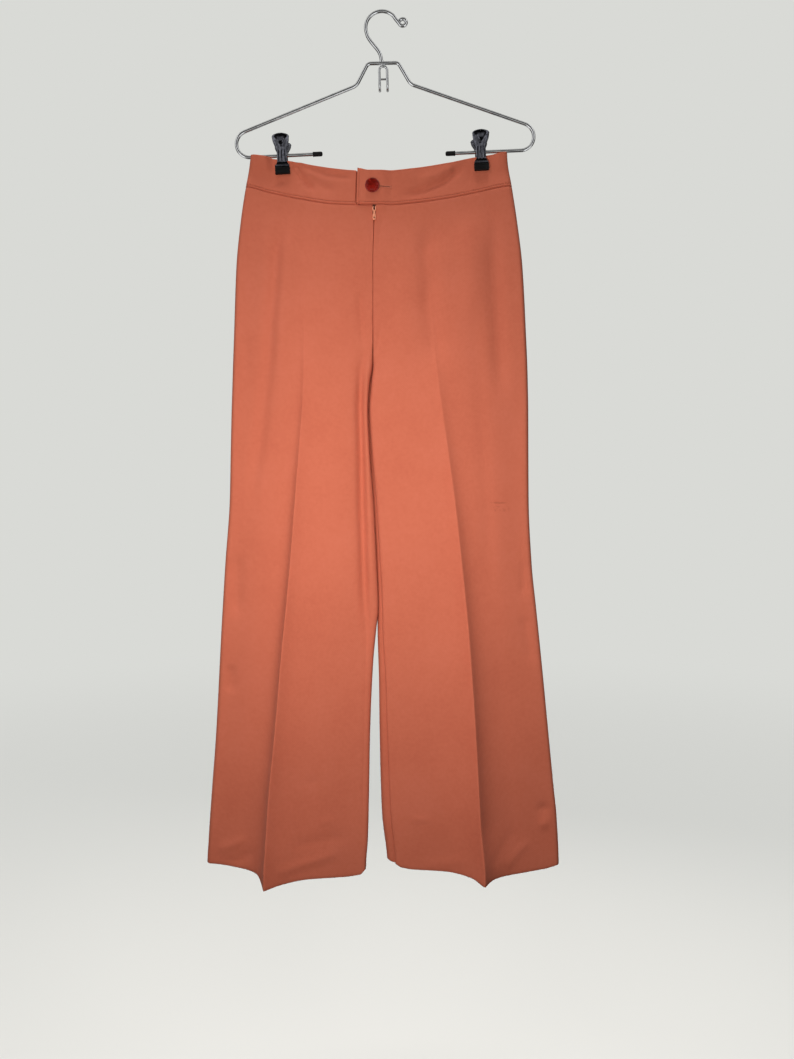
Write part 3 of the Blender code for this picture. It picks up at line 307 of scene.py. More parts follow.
def band_top(x: Array, front: bool) -> Array:
    """Height of the waistband's top edge across the garment.

    Args:
        x: places across, in millimetres.
        front: whether it is the front's edge.

    Returns:
        The edge's height, which is a little higher at the back.
    """
    top = table_at(BAND_EDGES, x - CENTRE_X)[0]
    if front:
        return top
    between = np.clip((x - CENTRE_X + CLIP_REACH[-1]) / (CLIP_REACH[-1] + CLIP_REACH[1]), 0.0, 1.0)
    return top + BACK_BAND_RISE * np.sin(math.pi * between).clip(0) ** 1.3


def band_height(x: Array, low: Array | float, front: bool) -> Array:
    """Height on the waistband; low is 0 at its top edge and 1 at its foot."""
    top, foot = table_at(BAND_EDGES, x - CENTRE_X)
    return foot + band_top(x, front) - top + (top - foot) * (1 - low)


def waist_depth(x: Array, low: Array | float, front: bool) -> Array:
    """Depth of the waistband, pinched flat at the clips and bowed between them.

    Args:
        x: places across, in millimetres.
        low: 0 at the top edge and 1 at the foot.
        front: whether it is at the front.

    Returns:
        How far the outer face stands off the middle plane.
    """
    reach = np.asarray(x - CENTRE_X, float)
    left = -CLIP_REACH[-1] + PINCH_HALF_WIDTH
    right = CLIP_REACH[1] - PINCH_HALF_WIDTH
    out = np.maximum(left - reach, reach - right)
    beyond = ease((out - 2 * PINCH_HALF_WIDTH) / 20)
    bow = np.sin(math.pi * np.clip((reach - left) / (right - left), 0.0, 1.0)).clip(0) ** 1.35
    pinched = GRIP_DEPTH + (END_DEPTH - GRIP_DEPTH) * beyond + BAND_BOW[front] * bow
    relaxed = RELAXED_DEPTH + RELAXED_BOW[front] * bow
    return pinched + (relaxed - pinched) * ease((low - 0.45) / 0.75)


def lap(x: Array, z: Array) -> Array:
    """How far the wearer's left front steps forward near the opening.

    Args:
        x: places across, in millimetres.
        z: heights, in millimetres.

    Returns:
        The step at each place.
    """
    across = 1 - ease((x - CENTRE_X - LAP_REACH) / LAP_EASE)
    down = 1 - ease((band_height(x, 1.0, True) - z) / LAP_FADE)
    return TAB_STEP * across * down


def end_forward(x: Array, z: Array) -> Array:
    """How far forward the waistband's ends lie, where they pass in front of the bars.

    Args:
        x: places across, in millimetres.
        z: heights, in millimetres.

    Returns:
        The shift at each place.
    """
    leg = np.where(x < CENTRE_X, -1.0, 1.0)
    reach = np.where(leg < 0, END_REACH[-1], END_REACH[1])
    step = np.where(leg < 0, END_FORWARD[-1], END_FORWARD[1])
    out = ease((leg * (x - CENTRE_X) - reach) / END_RUN)
    return step * out * ease((z - band_top(x, True) + END_FADE) / END_FADE)


def fold_relief(x: Array, z: Array, front: bool) -> Array:
    """Height of all soft folds together, each fading towards its two ends.

    Args:
        x: places across, in millimetres.
        z: heights, in millimetres.
        front: whether the cloth is at the front.

    Returns:
        How far the cloth stands out (or in, below 0) at each place.
    """
    total = np.zeros(np.broadcast(x, z).shape)
    for fold in FRONT_FOLDS if front else BACK_FOLDS:
        line = np.array(fold.points, float)
        lengths = np.hypot(*np.diff(line, axis=0).T)
        starts = np.concatenate([[0.0], np.cumsum(lengths)])
        nearest = np.full(total.shape, 1e9)
        along = np.zeros(total.shape)
        for (ax, az), (bx, bz), length, start in zip(line, line[1:], lengths, starts):
            share = np.clip(((x - ax) * (bx - ax) + (z - az) * (bz - az)) / length**2, 0.0, 1.0)
            away = np.hypot(x - ax - share * (bx - ax), z - az - share * (bz - az))
            closer = away < nearest
            along = np.where(closer, start + share * length, along)
            nearest = np.where(closer, away, nearest)
        part = along / starts[-1]
        fade = ease(part / 0.22 + 0.15) * ease((1 - part) / 0.3 + 0.1)
        total += fold.height * fade * np.exp(-((nearest / fold.width) ** 2))
    return total


def slack(x: Array, z: Array, front: bool) -> Array:
    """Slight waviness of hung cloth: long, uneven streaks under a millimetre high.

    Args:
        x: places across, in millimetres.
        z: heights, in millimetres.
        front: whether the cloth is at the front.

    Returns:
        How far the cloth stands out at each place.
    """
    turn = 0.0 if front else 1.9
    streaks = np.sin(x / 13.0 + 1.3 * np.sin(z / 97.0 + turn) + turn) * np.sin(z / 161.0 + x / 59.0 + 2 * turn)
    patches = np.sin(x / 31.0 - z / 83.0 + turn) * np.sin(z / 47.0 + x / 71.0 + 1.1)
    return 0.32 * streaks + 0.42 * patches


class Addition(NamedTuple):
    """What one material needs in its tree: the tree, its shader and its surface coordinates."""

    tree: Tree
    shader: bpy.types.Node
    place: bpy.types.Node


def add(tree: Tree, kind: str, settings: dict[str, Any] | None = None,
        values: dict[Any, Any] | None = None, links: dict[Any, Socket] | None = None) -> bpy.types.Node:
    """Adds a node with its settings, socket values and links.

    Args:
        tree: the tree that gets the node.
        kind: the node's type name without its ShaderNode prefix.
        settings: the node's own settings.
        values: constant socket values by socket name or index.
        links: sockets that feed this node, by socket name or index.

    Returns:
        The new node.
    """
    node = tree.nodes.new("ShaderNode" + kind)
    for name, value in (settings or {}).items():
        setattr(node, name, value)
    for name, value in (values or {}).items():
        node.inputs[name].default_value = value
    for name, socket in (links or {}).items():
        tree.links.new(socket, node.inputs[name])
    return node


def ramp(tree: Tree, source: Socket,
         stops: Sequence[tuple[float, tuple[float, float, float, float]]]) -> Socket:
    """Adds a colour ramp.

    Args:
        tree: the tree that gets the ramp.
        source: the socket that feeds it.
        stops: its (place, colour) stops, rising.

    Returns:
        The ramp's colour socket.
    """
    node = add(tree, "ValToRGB", links={"Fac": source})
    elements = node.color_ramp.elements
    while len(elements) < len(stops):
        elements.new(0.5)
    for element, (place, colour) in zip(elements, stops):
        element.position = place
        element.color = colour
    return node.outputs["Color"]


def start_material(name: str, slot: str) -> Addition:
    """Opens a new Principled material.

    Args:
        name: the material's name.
        slot: the record slot that its pieces belong to.

    Returns:
        The tree, its shader and its surface coordinates.
    """
    material = bpy.data.materials.new(name)
    material.use_nodes = True
    material["record_slot"] = slot
    tree = material.node_tree
    shader = tree.nodes["Principled BSDF"]
    return Addition(tree, shader, add(tree, "TexCoord"))


@dataclass(frozen=True)
class SuitingCloth:
    """Coral polyester suiting: a matte, close twill with faint shade variation and a soft sheen."""

    name: str = "coral_polyester_suiting"
    slot: str = "coral_cloth"
    colour: str = "#C96E55"
    shade: str = "#C46951"
    tint: str = "#CD725A"
    twill_mm: float = 2.0
    bump_mm: float = 0.10

    def build(self) -> Material:
        """Makes the material; the UV map is in metres, so the twill keeps its real spacing.

        Returns:
            The finished material.
        """
        tree, shader, place = start_material(self.name, self.slot)
        uv = place.outputs["UV"]
        spot = place.outputs["Object"]
        # Slow shade variation of worn, pressed cloth over a hand's width, and finer mottling inside it.
        wide = add(tree, "TexNoise", values={"Scale": 14.0, "Detail": 3.0, "Roughness": 0.55}, links={"Vector": spot})
        fine = add(tree, "TexNoise", values={"Scale": 210.0, "Detail": 4.0, "Roughness": 0.6}, links={"Vector": uv})
        tone = add(tree, "Mix", {"data_type": "RGBA", "blend_type": "MIX"}, {"Factor": 0.5},
                   {"A": wide.outputs["Color"], "B": fine.outputs["Color"]})
        stops = ((0.36, to_linear(self.shade)), (0.5, to_linear(self.colour)), (0.66, to_linear(self.tint)))
        base = ramp(tree, tone.outputs["Result"], stops)
        # The twill's diagonal lines, drawn at 2 mm because the real 0.5 mm ones are finer than a pixel.
        twist = add(tree, "TexWave", {"bands_direction": "DIAGONAL"},
                    {"Scale": 0.444 / (self.twill_mm * MM), "Distortion": 0.6, "Detail": 2.0, "Detail Scale": 2.0},
                    {"Vector": uv})
        lines = add(tree, "Mix", {"data_type": "RGBA", "blend_type": "MULTIPLY"}, {"Factor": 0.06},
                    {"A": base, "B": twist.outputs["Color"]})
        tree.links.new(self.mark(tree, spot, lines.outputs["Result"]), shader.inputs["Base Color"])
        nap = add(tree, "TexNoise", values={"Scale": 900.0, "Detail": 3.0}, links={"Vector": uv})
        height = add(tree, "Mix", {"data_type": "FLOAT"}, {"Factor": 0.5},
                     {"A": twist.outputs["Fac"], "B": nap.outputs["Fac"]})
        bump = add(tree, "Bump", values={"Strength": 0.5, "Distance": self.bump_mm * MM},
                   links={"Height": height.outputs["Result"]})
        tree.links.new(bump.outputs["Normal"], shader.inputs["Normal"])
        rough = add(tree, "MapRange", values={"To Min": 0.74, "To Max": 0.9}, links={"Value": wide.outputs["Fac"]})
        tree.links.new(rough.outputs["Result"], shader.inputs["Roughness"])
        shader.inputs["IOR"].default_value = 1.5
        shader.inputs["Specular IOR Level"].default_value = 0.25
        shader.inputs["Sheen Weight"].default_value = 0.05
        shader.inputs["Sheen Roughness"].default_value = 0.5
        shader.inputs["Sheen Tint"].default_value = to_linear("#FFD8C8")
        return bpy.data.materials[self.name]

    def mark(self, tree: Tree, spot: Socket,
             colour: Socket) -> Socket:
        """Darkens the small rubbed mark on the wearer's left thigh: a thin streak over a mottled patch.

        Args:
            tree: the material's tree.
            spot: object coordinates.
            colour: the cloth's colour so far.

        Returns:
            The colour with the mark on it.
        """
        amounts = []
        for x, z, half_x, half_z, low in ((0.164, -0.6965, 0.013, 0.0016, 0.36), (0.168, -0.7045, 0.016, 0.0055, 0.5)):
            moved = add(tree, "Mapping", {"vector_type": "POINT"},
                        {"Location": (-x / half_x, 0.0, -z / half_z), "Scale": (1 / half_x, 0.0, 1 / half_z)},
                        {"Vector": spot})
            length = add(tree, "VectorMath", {"operation": "LENGTH"}, links={0: moved.outputs["Vector"]})
            inside = add(tree, "MapRange", {"interpolation_type": "SMOOTHSTEP"},
                         {"From Min": 1.15, "From Max": 0.55, "To Min": 0.0, "To Max": 1.0},
                         {"Value": length.outputs["Value"]})
            specks = add(tree, "TexNoise", values={"Scale": 260.0, "Detail": 3.0}, links={"Vector": spot})
            keep = add(tree, "MapRange", values={"From Min": low, "From Max": low + 0.16},
                       links={"Value": specks.outputs["Fac"]})
            amounts.append(add(tree, "Math", {"operation": "MULTIPLY"},
                               links={0: inside.outputs["Result"], 1: keep.outputs["Result"]}))
        both = add(tree, "Math", {"operation": "MAXIMUM"},
                   links={0: amounts[0].outputs["Value"], 1: amounts[1].outputs["Value"]})
        front = add(tree, "SeparateXYZ", links={"Vector": spot})
        ahead = add(tree, "Math", {"operation": "LESS_THAN"}, {1: -0.004}, {0: front.outputs["Y"]})
        held = add(tree, "Math", {"operation": "MULTIPLY"},
                   links={0: both.outputs["Value"], 1: ahead.outputs["Value"]})
        part = add(tree, "Math", {"operation": "MULTIPLY"}, {1: 0.3}, {0: held.outputs["Value"]})
        mixed = add(tree, "Mix", {"data_type": "RGBA"}, {"B": to_linear("#7A3626")},
                    {"Factor": part.outputs["Value"], "A": colour})
        return mixed.outputs["Result"]


@dataclass(frozen=True)
class SpunThread:
    """Polyester sewing thread, spun in two plies, coloured darker than the cloth as painted shade along its stitch
    lines.
    """

    name: str = "coral_sewing_thread"
    slot: str = "coral_cloth"
    # Darker than the cloth: painted shade along the stitch lines' valleys.
    colour: str = "#93452F"
    shade: str = "#793725"
    sheen: float = 0.2

    def build(self) -> Material:
        """Makes the material, with the twist of its plies as fine slanted bands.

        Returns:
            The finished material.
        """
        tree, shader, place = start_material(self.name, self.slot)
        ply = add(tree, "TexWave", {"bands_direction": "DIAGONAL"}, {"Scale": 700.0},
                  {"Vector": place.outputs["Object"]})
        colour = ramp(tree, ply.outputs["Fac"], ((0.0, to_linear(self.shade)), (1.0, to_linear(self.colour))))
        tree.links.new(colour, shader.inputs["Base Color"])
        shader.inputs["Roughness"].default_value = 0.6
        shader.inputs["Sheen Weight"].default_value = self.sheen
        return bpy.data.materials[self.name]


@dataclass(frozen=True)
class WovenTape:
    """Woven polyester zip tape: fine herringbone ribs that run along the tape, its colour darkened as painted shade
    where it shows through the slot.
    """

    name: str = "woven_zip_tape"
    slot: str = "zip_tape_cloth"
    # Darker than the cloth: painted shade of the slot the tape shows through.
    colour: str = "#8E4633"
    rib_mm: float = 1.2

    def build(self) -> Material:
        """Makes the material, with its ribs as fine upright bands.

        Returns:
            The finished material.
        """
        tree, shader, place = start_material(self.name, self.slot)
        rib = add(tree, "TexWave", {"bands_direction": "X"}, {"Scale": 0.314 / (self.rib_mm * MM), "Distortion": 0.4},
                  {"Vector": place.outputs["Object"]})
        colour = ramp(tree, rib.outputs["Fac"], ((0.0, to_linear("#6E3222")), (1.0, to_linear(self.colour))))
        tree.links.new(colour, shader.inputs["Base Color"])
        bump = add(tree, "Bump", values={"Strength": 0.6, "Distance": 0.12 * MM}, links={"Height": rib.outputs["Fac"]})
        tree.links.new(bump.outputs["Normal"], shader.inputs["Normal"])
        shader.inputs["Roughness"].default_value = 0.8
        return bpy.data.materials[self.name]


class Gloss(Enum):
    """How a hard surface was finished."""

    PAINTED = "painted"
    CAST = "cast"
    PLATED = "plated"
    MOULDED = "moulded"


@dataclass(frozen=True)
class HardFinish:
    """A hard material: its colour, how shiny it is, and the small flaws that its surface shows."""

    name: str
    slot: str
    colour: str
    second: str
    roughness: tuple[float, float]
    kind: Gloss
    grain_mm: float
    bump_mm: float = 0.0

    def build(self) -> Material:
        """Makes the material.

        Returns:
            The finished material, with its colour and roughness broken up at the grain's real size.
        """
        tree, shader, place = start_material(self.name, self.slot)
        noise = add(tree, "TexNoise", values={"Scale": 1 / (self.grain_mm * MM), "Detail": 5.0, "Roughness": 0.6},
                    links={"Vector": place.outputs["Object"]})
        stops = ((0.35, to_linear(self.second)), (0.62, to_linear(self.colour)))
        tree.links.new(ramp(tree, noise.outputs["Fac"], stops), shader.inputs["Base Color"])
        low, high = self.roughness
        rough = add(tree, "MapRange", values={"From Min": 0.3, "From Max": 0.7, "To Min": low, "To Max": high},
                    links={"Value": noise.outputs["Fac"]})
        tree.links.new(rough.outputs["Result"], shader.inputs["Roughness"])
        if self.bump_mm:
            pit = add(tree, "TexNoise", values={"Scale": 4 / (self.grain_mm * MM), "Detail": 3.0},
                      links={"Vector": place.outputs["Object"]})
            bump = add(tree, "Bump", values={"Strength": 0.5, "Distance": self.bump_mm * MM},
                       links={"Height": pit.outputs["Fac"]})
            tree.links.new(bump.outputs["Normal"], shader.inputs["Normal"])
        if self.kind is Gloss.PLATED:
            shader.inputs["Metallic"].default_value = 1.0
        if self.kind is Gloss.MOULDED:
            shader.inputs["Specular IOR Level"].default_value = 0.25
        if self.kind is Gloss.CAST:
            shader.inputs["IOR"].default_value = 1.55
            shader.inputs["Coat Weight"].default_value = 0.1
            shader.inputs["Coat Roughness"].default_value = 0.1
        if self.kind is Gloss.PAINTED:
            shader.inputs["Coat Weight"].default_value = 0.3
            shader.inputs["Coat Roughness"].default_value = 0.2
        return bpy.data.materials[self.name]


# Bright nickel-chrome plate on drawn steel wire: mirror-like, with faint drawing marks.
CHROME = HardFinish("bright_chrome_plate", "chrome_wire", "#E2E3E4", "#C9CBCD", (0.07, 0.2), Gloss.PLATED, 9.0)
# Black nickel plate on pressed steel: a dark mirror with rubbed patches.
BLACK_NICKEL = HardFinish("black_nickel_plate", "dark_chrome", "#606168", "#3C3D43", (0.07, 0.17), Gloss.PLATED, 4.0,
                          0.02)
# Moulded nitrile rubber: dull black with a fine moulded grain.
NITRILE = HardFinish("moulded_black_rubber", "black_rubber", "#0D0D0D", "#080808", (0.42, 0.62), Gloss.MOULDED, 1.6,
                     0.08)
# Cast polyester resin, polished: deep red with darker swirls under the gloss.
RESIN = HardFinish("polished_red_resin", "red_button", "#8E170A", "#5E0C04", (0.2, 0.32), Gloss.CAST, 5.0)
# Baked enamel on a die-cast zinc slider and pull: even salmon paint, thin at the edges.
ENAMEL = HardFinish("salmon_baked_enamel", "painted_metal", "#F4A888", "#E9946F", (0.35, 0.5), Gloss.PAINTED, 2.5,
                    0.02)

# The same enamel on the slider, painted dark brown as the shade it sits in behind the fly.
SLIDER_SHADE_ENAMEL = HardFinish("brown_baked_enamel", "painted_metal", "#4A2218", "#38180F", (0.4, 0.55), Gloss.PAINTED, 2.5,
                         0.02)


def link(item: Piece) -> None:
    """Puts an object into the scene."""
    bpy.context.scene.collection.objects.link(item)


def finish_piece(name: str, shape: Shape, material: Material, angle: float = 40.0,
                 body: str = "trousers", outward: bool = True) -> Piece:
    """Turns a bmesh, in millimetres and in place, into a piece that rides on a body.

    Args:
        name: the piece's name.
        shape: the bmesh, which is freed.
        material: the piece's finish.
        angle: edges sharper than this many degrees stay sharp.
        body: the CAD body that carries the piece.
        outward: whether to recalculate the normals, as for a closed shape.

    Returns:
        The new object, at the origin and unscaled.
    """
    if outward:
        bmesh.ops.recalc_face_normals(shape, faces=shape.faces)
    bmesh.ops.scale(shape, verts=shape.verts, vec=(MM, MM, MM))
    mesh = bpy.data.meshes.new(name)
    shape.to_mesh(mesh)
    shape.free()
    mesh.shade_smooth()
    mesh.set_sharp_from_angle(angle=math.radians(angle))
    mesh.materials.append(material)
    piece = bpy.data.objects.new(name, mesh)
    link(piece)
    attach(piece, body)
    return piece


def thicken(piece: Piece, thick_mm: float, round_mm: float = 0.0) -> Piece:
    """Gives a sheet its thickness on its inner side.

    Args:
        piece: the sheet.
        thick_mm: its thickness.
        round_mm: how far its cut edges are rounded, or 0 for square ones.

    Returns:
        The same sheet.
    """
    wall = piece.modifiers.new("cloth", "SOLIDIFY")
    wall.thickness = thick_mm * MM
    wall.offset = -1.0
    wall.use_even_offset = False
    if round_mm:
        edge = piece.modifiers.new("edge", "BEVEL")
        edge.width = round_mm * MM
        edge.segments = 2
        edge.limit_method = "ANGLE"
        edge.angle_limit = math.radians(60)
    return piece


def sheet_grid(name: str, points: Array, material: Material) -> Piece:
    """A sheet laid over a grid of points, with a UV map in metres along the cloth.

    Args:
        name: the piece's name.
        points: world points in millimetres, of shape (rows, columns, 3).
        material: the sheet's finish.

    Returns:
        The sheet, whose faces point away from the garment's inside.
    """
    rows, columns = points.shape[:2]
    shape = bmesh.new()
    bmesh.ops.create_grid(shape, x_segments=columns - 1, y_segments=rows - 1, size=0.5)
    shape.verts.ensure_lookup_table()
    cells = {}
    for vert in shape.verts:
        column = round((vert.co.x + 0.5) * (columns - 1))
        row = round((vert.co.y + 0.5) * (rows - 1))
        cells[vert] = (row, column)
        vert.co = Vector(points[row, column])
    across = np.zeros((rows, columns))
    across[:, 1:] = np.cumsum(np.linalg.norm(np.diff(points, axis=1), axis=2), axis=1)
    middle = columns // 2
    across -= across[:, middle:middle + 1]
    down = np.zeros((rows, columns))
    down[1:] = np.cumsum(np.linalg.norm(np.diff(points, axis=0), axis=2), axis=0)
    layer = shape.loops.layers.uv.new("UVMap")
    for face in shape.faces:
        for loop in face.loops:
            row, column = cells[loop.vert]
            loop[layer].uv = (across[row, column] * MM, down[row, column] * MM)
    return finish_piece(name, shape, material, angle=75.0, outward=False)


@dataclass
class LegPanel:
    """One of the four leg panels, from the seam under the waistband down to its turned-up hem."""

    leg: int
    front: bool
    cloth_mm: float = 1.0
    row_mm: float = 4.4
    turn_up_mm: float = 56.0
    hem_round: float = 1.15
    under_band: float = 6.0
    turning_slope: float = 0.06
    crossing_slope: float = -0.04
    side_groove: float = 0.9
    seam_groove: float = 1.7
    seam_squareness: float = 0.62
    into_seam: float = 4.2
    back_inner_lift: float = 3.5
    allowance: tuple[float, ...] = (8.0, 4.5, 2.2, 1.1)
    roll_angles: tuple[float, ...] = (3.0, 9.0, 16.0, 24.0, 33.0, 43.0, 54.0, 66.0, 78.0)
    crease_offsets: tuple[float, ...] = (
        18.0, 14.0, 11.0, 8.4, 6.4, 4.8, 3.5, 2.4, 1.5, 0.8, 0.3, -0.2, -0.8, -1.6, -2.6, -4.0, -6.0, -8.6, -12.0,
        -16.0,
    )
    outer_columns: int = 18
    inner_columns: int = 24

    @property
    def name(self) -> str:
        """The solid that this panel stands for."""
        return f"{'front' if self.front else 'back'}_{'right' if self.leg < 0 else 'left'}"

    def outline(self, z: Array) -> list[Array]:
        """Reach of side, crease and inseam, and the overhang, at some heights."""
        return table_at(OUTLINES[self.leg], WAIST_Z - z)

    def crease_ridge(self, offset: Array, height: Array) -> Array:
        """The pressed crease across the cloth: a soft run up on the inner side and a drop on the outer one.

        Args:
            offset: places across, outwards from the crease's line.
            height: how far the crease stands out.

        Returns:
            The crease's height at each place.
        """
        tip = 1.1
        outer = 4.2 + height * 0.1 if self.leg < 0 else 9.0 + height * 0.15
        spread = np.where(offset > 0, outer, 15.0 + height * 0.4)
        return height * np.exp((tip - np.hypot(offset, tip)) / spread)

    def face_depth(self, reach: Array, z: Array) -> Array:
        """Depth of the panel's face between its rolled edges, folds and all.

        Args:
            reach: places outwards from the centre line.
            z: heights, shaped as reach.

        Returns:
            How far the face stands off the middle plane.
        """
        side, crease, inseam, _ = self.outline(z)
        at_side, outer, at_crease, inner, at_inseam, nose = table_at(DEPTHS[self.front], WAIST_Z - z)
        side = side - SIDE_ROLL
        inseam = inseam + INSEAM_ROLL
        places = np.stack([inseam, (inseam + crease) / 2, crease, (side + crease) / 2, side])
        heights = np.stack([at_inseam, inner, at_crease, outer, at_side])
        x = CENTRE_X + self.leg * reach
        value = smooth_curve(places, heights, np.maximum(reach, inseam)) + self.crease_ridge(reach - crease, nose)
        relief = fold_relief(x, z, self.front) + slack(x, z, self.front)
        if self.front:
            reach = np.maximum(reach, inseam)
        value = value + relief * ease((side - reach) / 14 + 0.25)
        under = ease((band_height(x, 1.0, self.front) - z) / UNDER_BAND_RUN)
        waist = waist_depth(x, 1.0, self.front) + 0.6 * relief
        value = waist * (1 - under) + value * under
        if self.front and self.leg > 0:
            value = value + lap(x, z)
        return value

    def inner_edge(self, z: Array) -> Array:
        """Reach of the inseam or centre seam, with the slot that stands open at the zip's top.

        Args:
            z: heights, in millimetres.

        Returns:
            The seam's reach at each height.
        """
        reach = self.outline(z)[2] + SEAM_HALF
        if self.front:
            below = band_height(np.full_like(z, CENTRE_X), 1.0, True) - z
            reach = reach + SLOT_HALF * (1 - ease((below - 6) / SLOT_LENGTH))
        return reach

    def place(self, z: Array) -> tuple[Array, Array]:
        """Reach and depth of every column, each at its own heights.

        Args:
            z: heights of shape (rows, columns), in millimetres.

        Returns:
            Reach and depth, shaped as z.
        """
        reach = np.zeros_like(z)
        depth = np.zeros_like(z)
        side, crease, _, overhang = self.outline(z)
        inner = self.inner_edge(z)
        start = CURVE_START_Z[self.front]
        turn_in = ease((start - z) / (start - CROTCH_Z))
        allowed = len(self.allowance)
        rolls = len(self.roll_angles)
        first = allowed + rolls

        cut = slice(0, allowed)
        inset = np.array(self.allowance)[None, :]
        reach[:, cut] = side[:, cut] - inset
        # The front's turning crosses the seam's plane, so that no light shows straight through the seam.
        depth[:, cut] = SEAM_HALF + (self.crossing_slope if self.front else self.turning_slope) * inset
        cut = slice(allowed, first)
        turn = np.radians(np.array(self.roll_angles))[None, :]
        face = self.face_depth(side[:, cut] - SIDE_ROLL, z[:, cut])
        groove = self.side_groove * np.exp(-((turn / 0.14) ** 2))
        reach[:, cut] = side[:, cut] - SIDE_ROLL * (1 - np.cos(turn)) - groove
        depth[:, cut] = SEAM_HALF + (face - SEAM_HALF) * np.sin(turn)

        offsets = np.array(self.crease_offsets)
        for_outer = np.linspace(0.0, 1.0, self.outer_columns, endpoint=False)
        for_inner = 1 - np.linspace(1.0, 0.0, self.inner_columns + 1)[1:] ** 1.5
        columns = slice(first, first + self.outer_columns)
        edge = side[:, columns] - SIDE_ROLL
        reach[:, columns] = edge + (crease[:, columns] + offsets[0] - edge) * for_outer
        columns = slice(columns.stop, columns.stop + len(offsets))
        reach[:, columns] = crease[:, columns] + offsets
        columns = slice(columns.stop, columns.stop + self.inner_columns)
        edge = inner[:, columns] + INSEAM_ROLL
        reach[:, columns] = crease[:, columns] + offsets[-1] + (edge - crease[:, columns] - offsets[-1]) * for_inner
        faces = slice(first, columns.stop)
        depth[:, faces] = self.face_depth(reach[:, faces], z[:, faces])

        cut = slice(columns.stop, columns.stop + rolls)
        turn = turn[:, ::-1]
        part = np.clip((start - z[:, cut]) / (start - CROTCH_Z), 0.0, 1.0)
        face = self.face_depth(inner[:, cut] + INSEAM_ROLL, z[:, cut])
        forward = self.seam_forward(overhang[:, cut])
        edge = np.maximum(SEAM_HALF, face * np.sqrt(1 - part**2)) + (forward if self.front else -forward)
        if self.front:
            face = self.face_depth(inner[:, cut] + INSEAM_ROLL * (1 - np.cos(turn)), z[:, cut])
        sharp = np.where(turn < math.pi / 4, 0.35, 0.8)
        bulge = 0.0 if self.front else self.overlap(overhang[:, cut], z[:, cut]) * np.sin(2 * turn).clip(0) ** sharp
        pulled = 0.5 if self.front else 0.2
        groove = (pulled + (self.seam_groove - pulled) * (1 - turn_in[:, cut])) * np.exp(-((turn / 0.19) ** 2))
        reach[:, cut] = inner[:, cut] + INSEAM_ROLL * (1 - np.cos(turn)) - bulge + groove * turn_in[:, cut]
        squared = 1 - (self.seam_squareness if self.front else 0.0) * turn_in[:, cut]
        depth[:, cut] = edge + (face - edge) * np.sin(turn) ** squared - groove * (1 - turn_in[:, cut])
        last = slice(cut.stop, cut.stop + allowed)
        inset = inset[:, ::-1]
        quarter = turn_in[:, last] * math.pi / 2
        seam = edge[:, -1:] - self.seam_groove * (1 - turn_in[:, last])
        reach[:, last] = inner[:, last] + inset * np.sin(quarter)
        depth[:, last] = seam - inset * np.cos(quarter) + self.turning_slope * inset * np.sin(quarter)
        return reach, depth

    def overlap(self, overhang: Array, z: Array) -> Array:
        """How far the back's rolled inner edge bulges; below the crotch the left leg's leans behind the right's.

        Args:
            overhang: how far the back shows beside the front.
            z: heights, in millimetres.

        Returns:
            The bulge at each height.
        """
        if self.leg < 0:
            return overhang
        lean = 2.2 * ease((CROTCH_Z + 30 - z) / 14) * ease((z + 780) / 90)
        shown = overhang + lean
        return shown + INSEAM_ROLL * (1 - math.cos(math.pi / 4)) * ease(shown / 2)

    def seam_forward(self, overhang: Array) -> Array:
        """How far forward the inseam lies where the back panel shows beside the front one."""
        return 6.0 * ease(overhang / 9)

    def inset(self, reach: Array, depth: Array, amount: Array | float) -> tuple[Array, Array]:
        """Moves a section's places inwards: straight back on the face, square to the cloth on its rolls.

        Args:
            reach: the section's reach at each column.
            depth: its depth at each column.
            amount: how far the places move.

        Returns:
            The moved reach and depth.
        """
        along = np.stack([np.gradient(reach, axis=1), np.gradient(depth, axis=1)])
        normal = np.stack([along[1], -along[0]]) / np.hypot(*along)
        rolls = len(self.allowance) + len(self.roll_angles)
        column = np.arange(reach.shape[1])[None, :]
        face = (column >= rolls) & (column < reach.shape[1] - rolls)
        straight = amount * np.minimum(1 / np.abs(normal[1]).clip(0.4), 2.4)
        moved_reach = np.where(face, reach, reach - amount * normal[0])
        return moved_reach, np.where(face, depth - straight, depth - amount * normal[1])

    def heights(self, reach: Array, level: Array) -> Array:
        """Heights of each row: rows follow the sagging waist at the top and the hem at the foot.

        Args:
            reach: places outwards from the centre line.
            level: each row's height before it sags.

        Returns:
            The heights, shaped as reach.
        """
        x = CENTRE_X + self.leg * reach
        top = band_height(x, 1.0, self.front) - LEG_TOP_Z
        hem = np.array(HEMS[self.leg], float)
        if self.front:
            foot = smooth_curve(hem[:, 0], hem[:, 1], reach) - HEM_Z
        else:
            share = np.clip((reach - hem[0, 0]) / (hem[-1, 0] - hem[0, 0]), 0.0, 1.0)
            rise = (hem[-1, 1] - hem[0, 1]) * share + HEM_BACK_LIFT * np.sin(math.pi * share)
            foot = hem[0, 1] + rise - HEM_Z
            foot = foot + self.back_inner_lift * ease((hem[0, 0] - reach) / 12)
        under = 1 - ease((LEG_TOP_Z - level) / 140)
        over = ease((level - HEM_Z) / -230 + 1)
        return level + top * under + foot * over

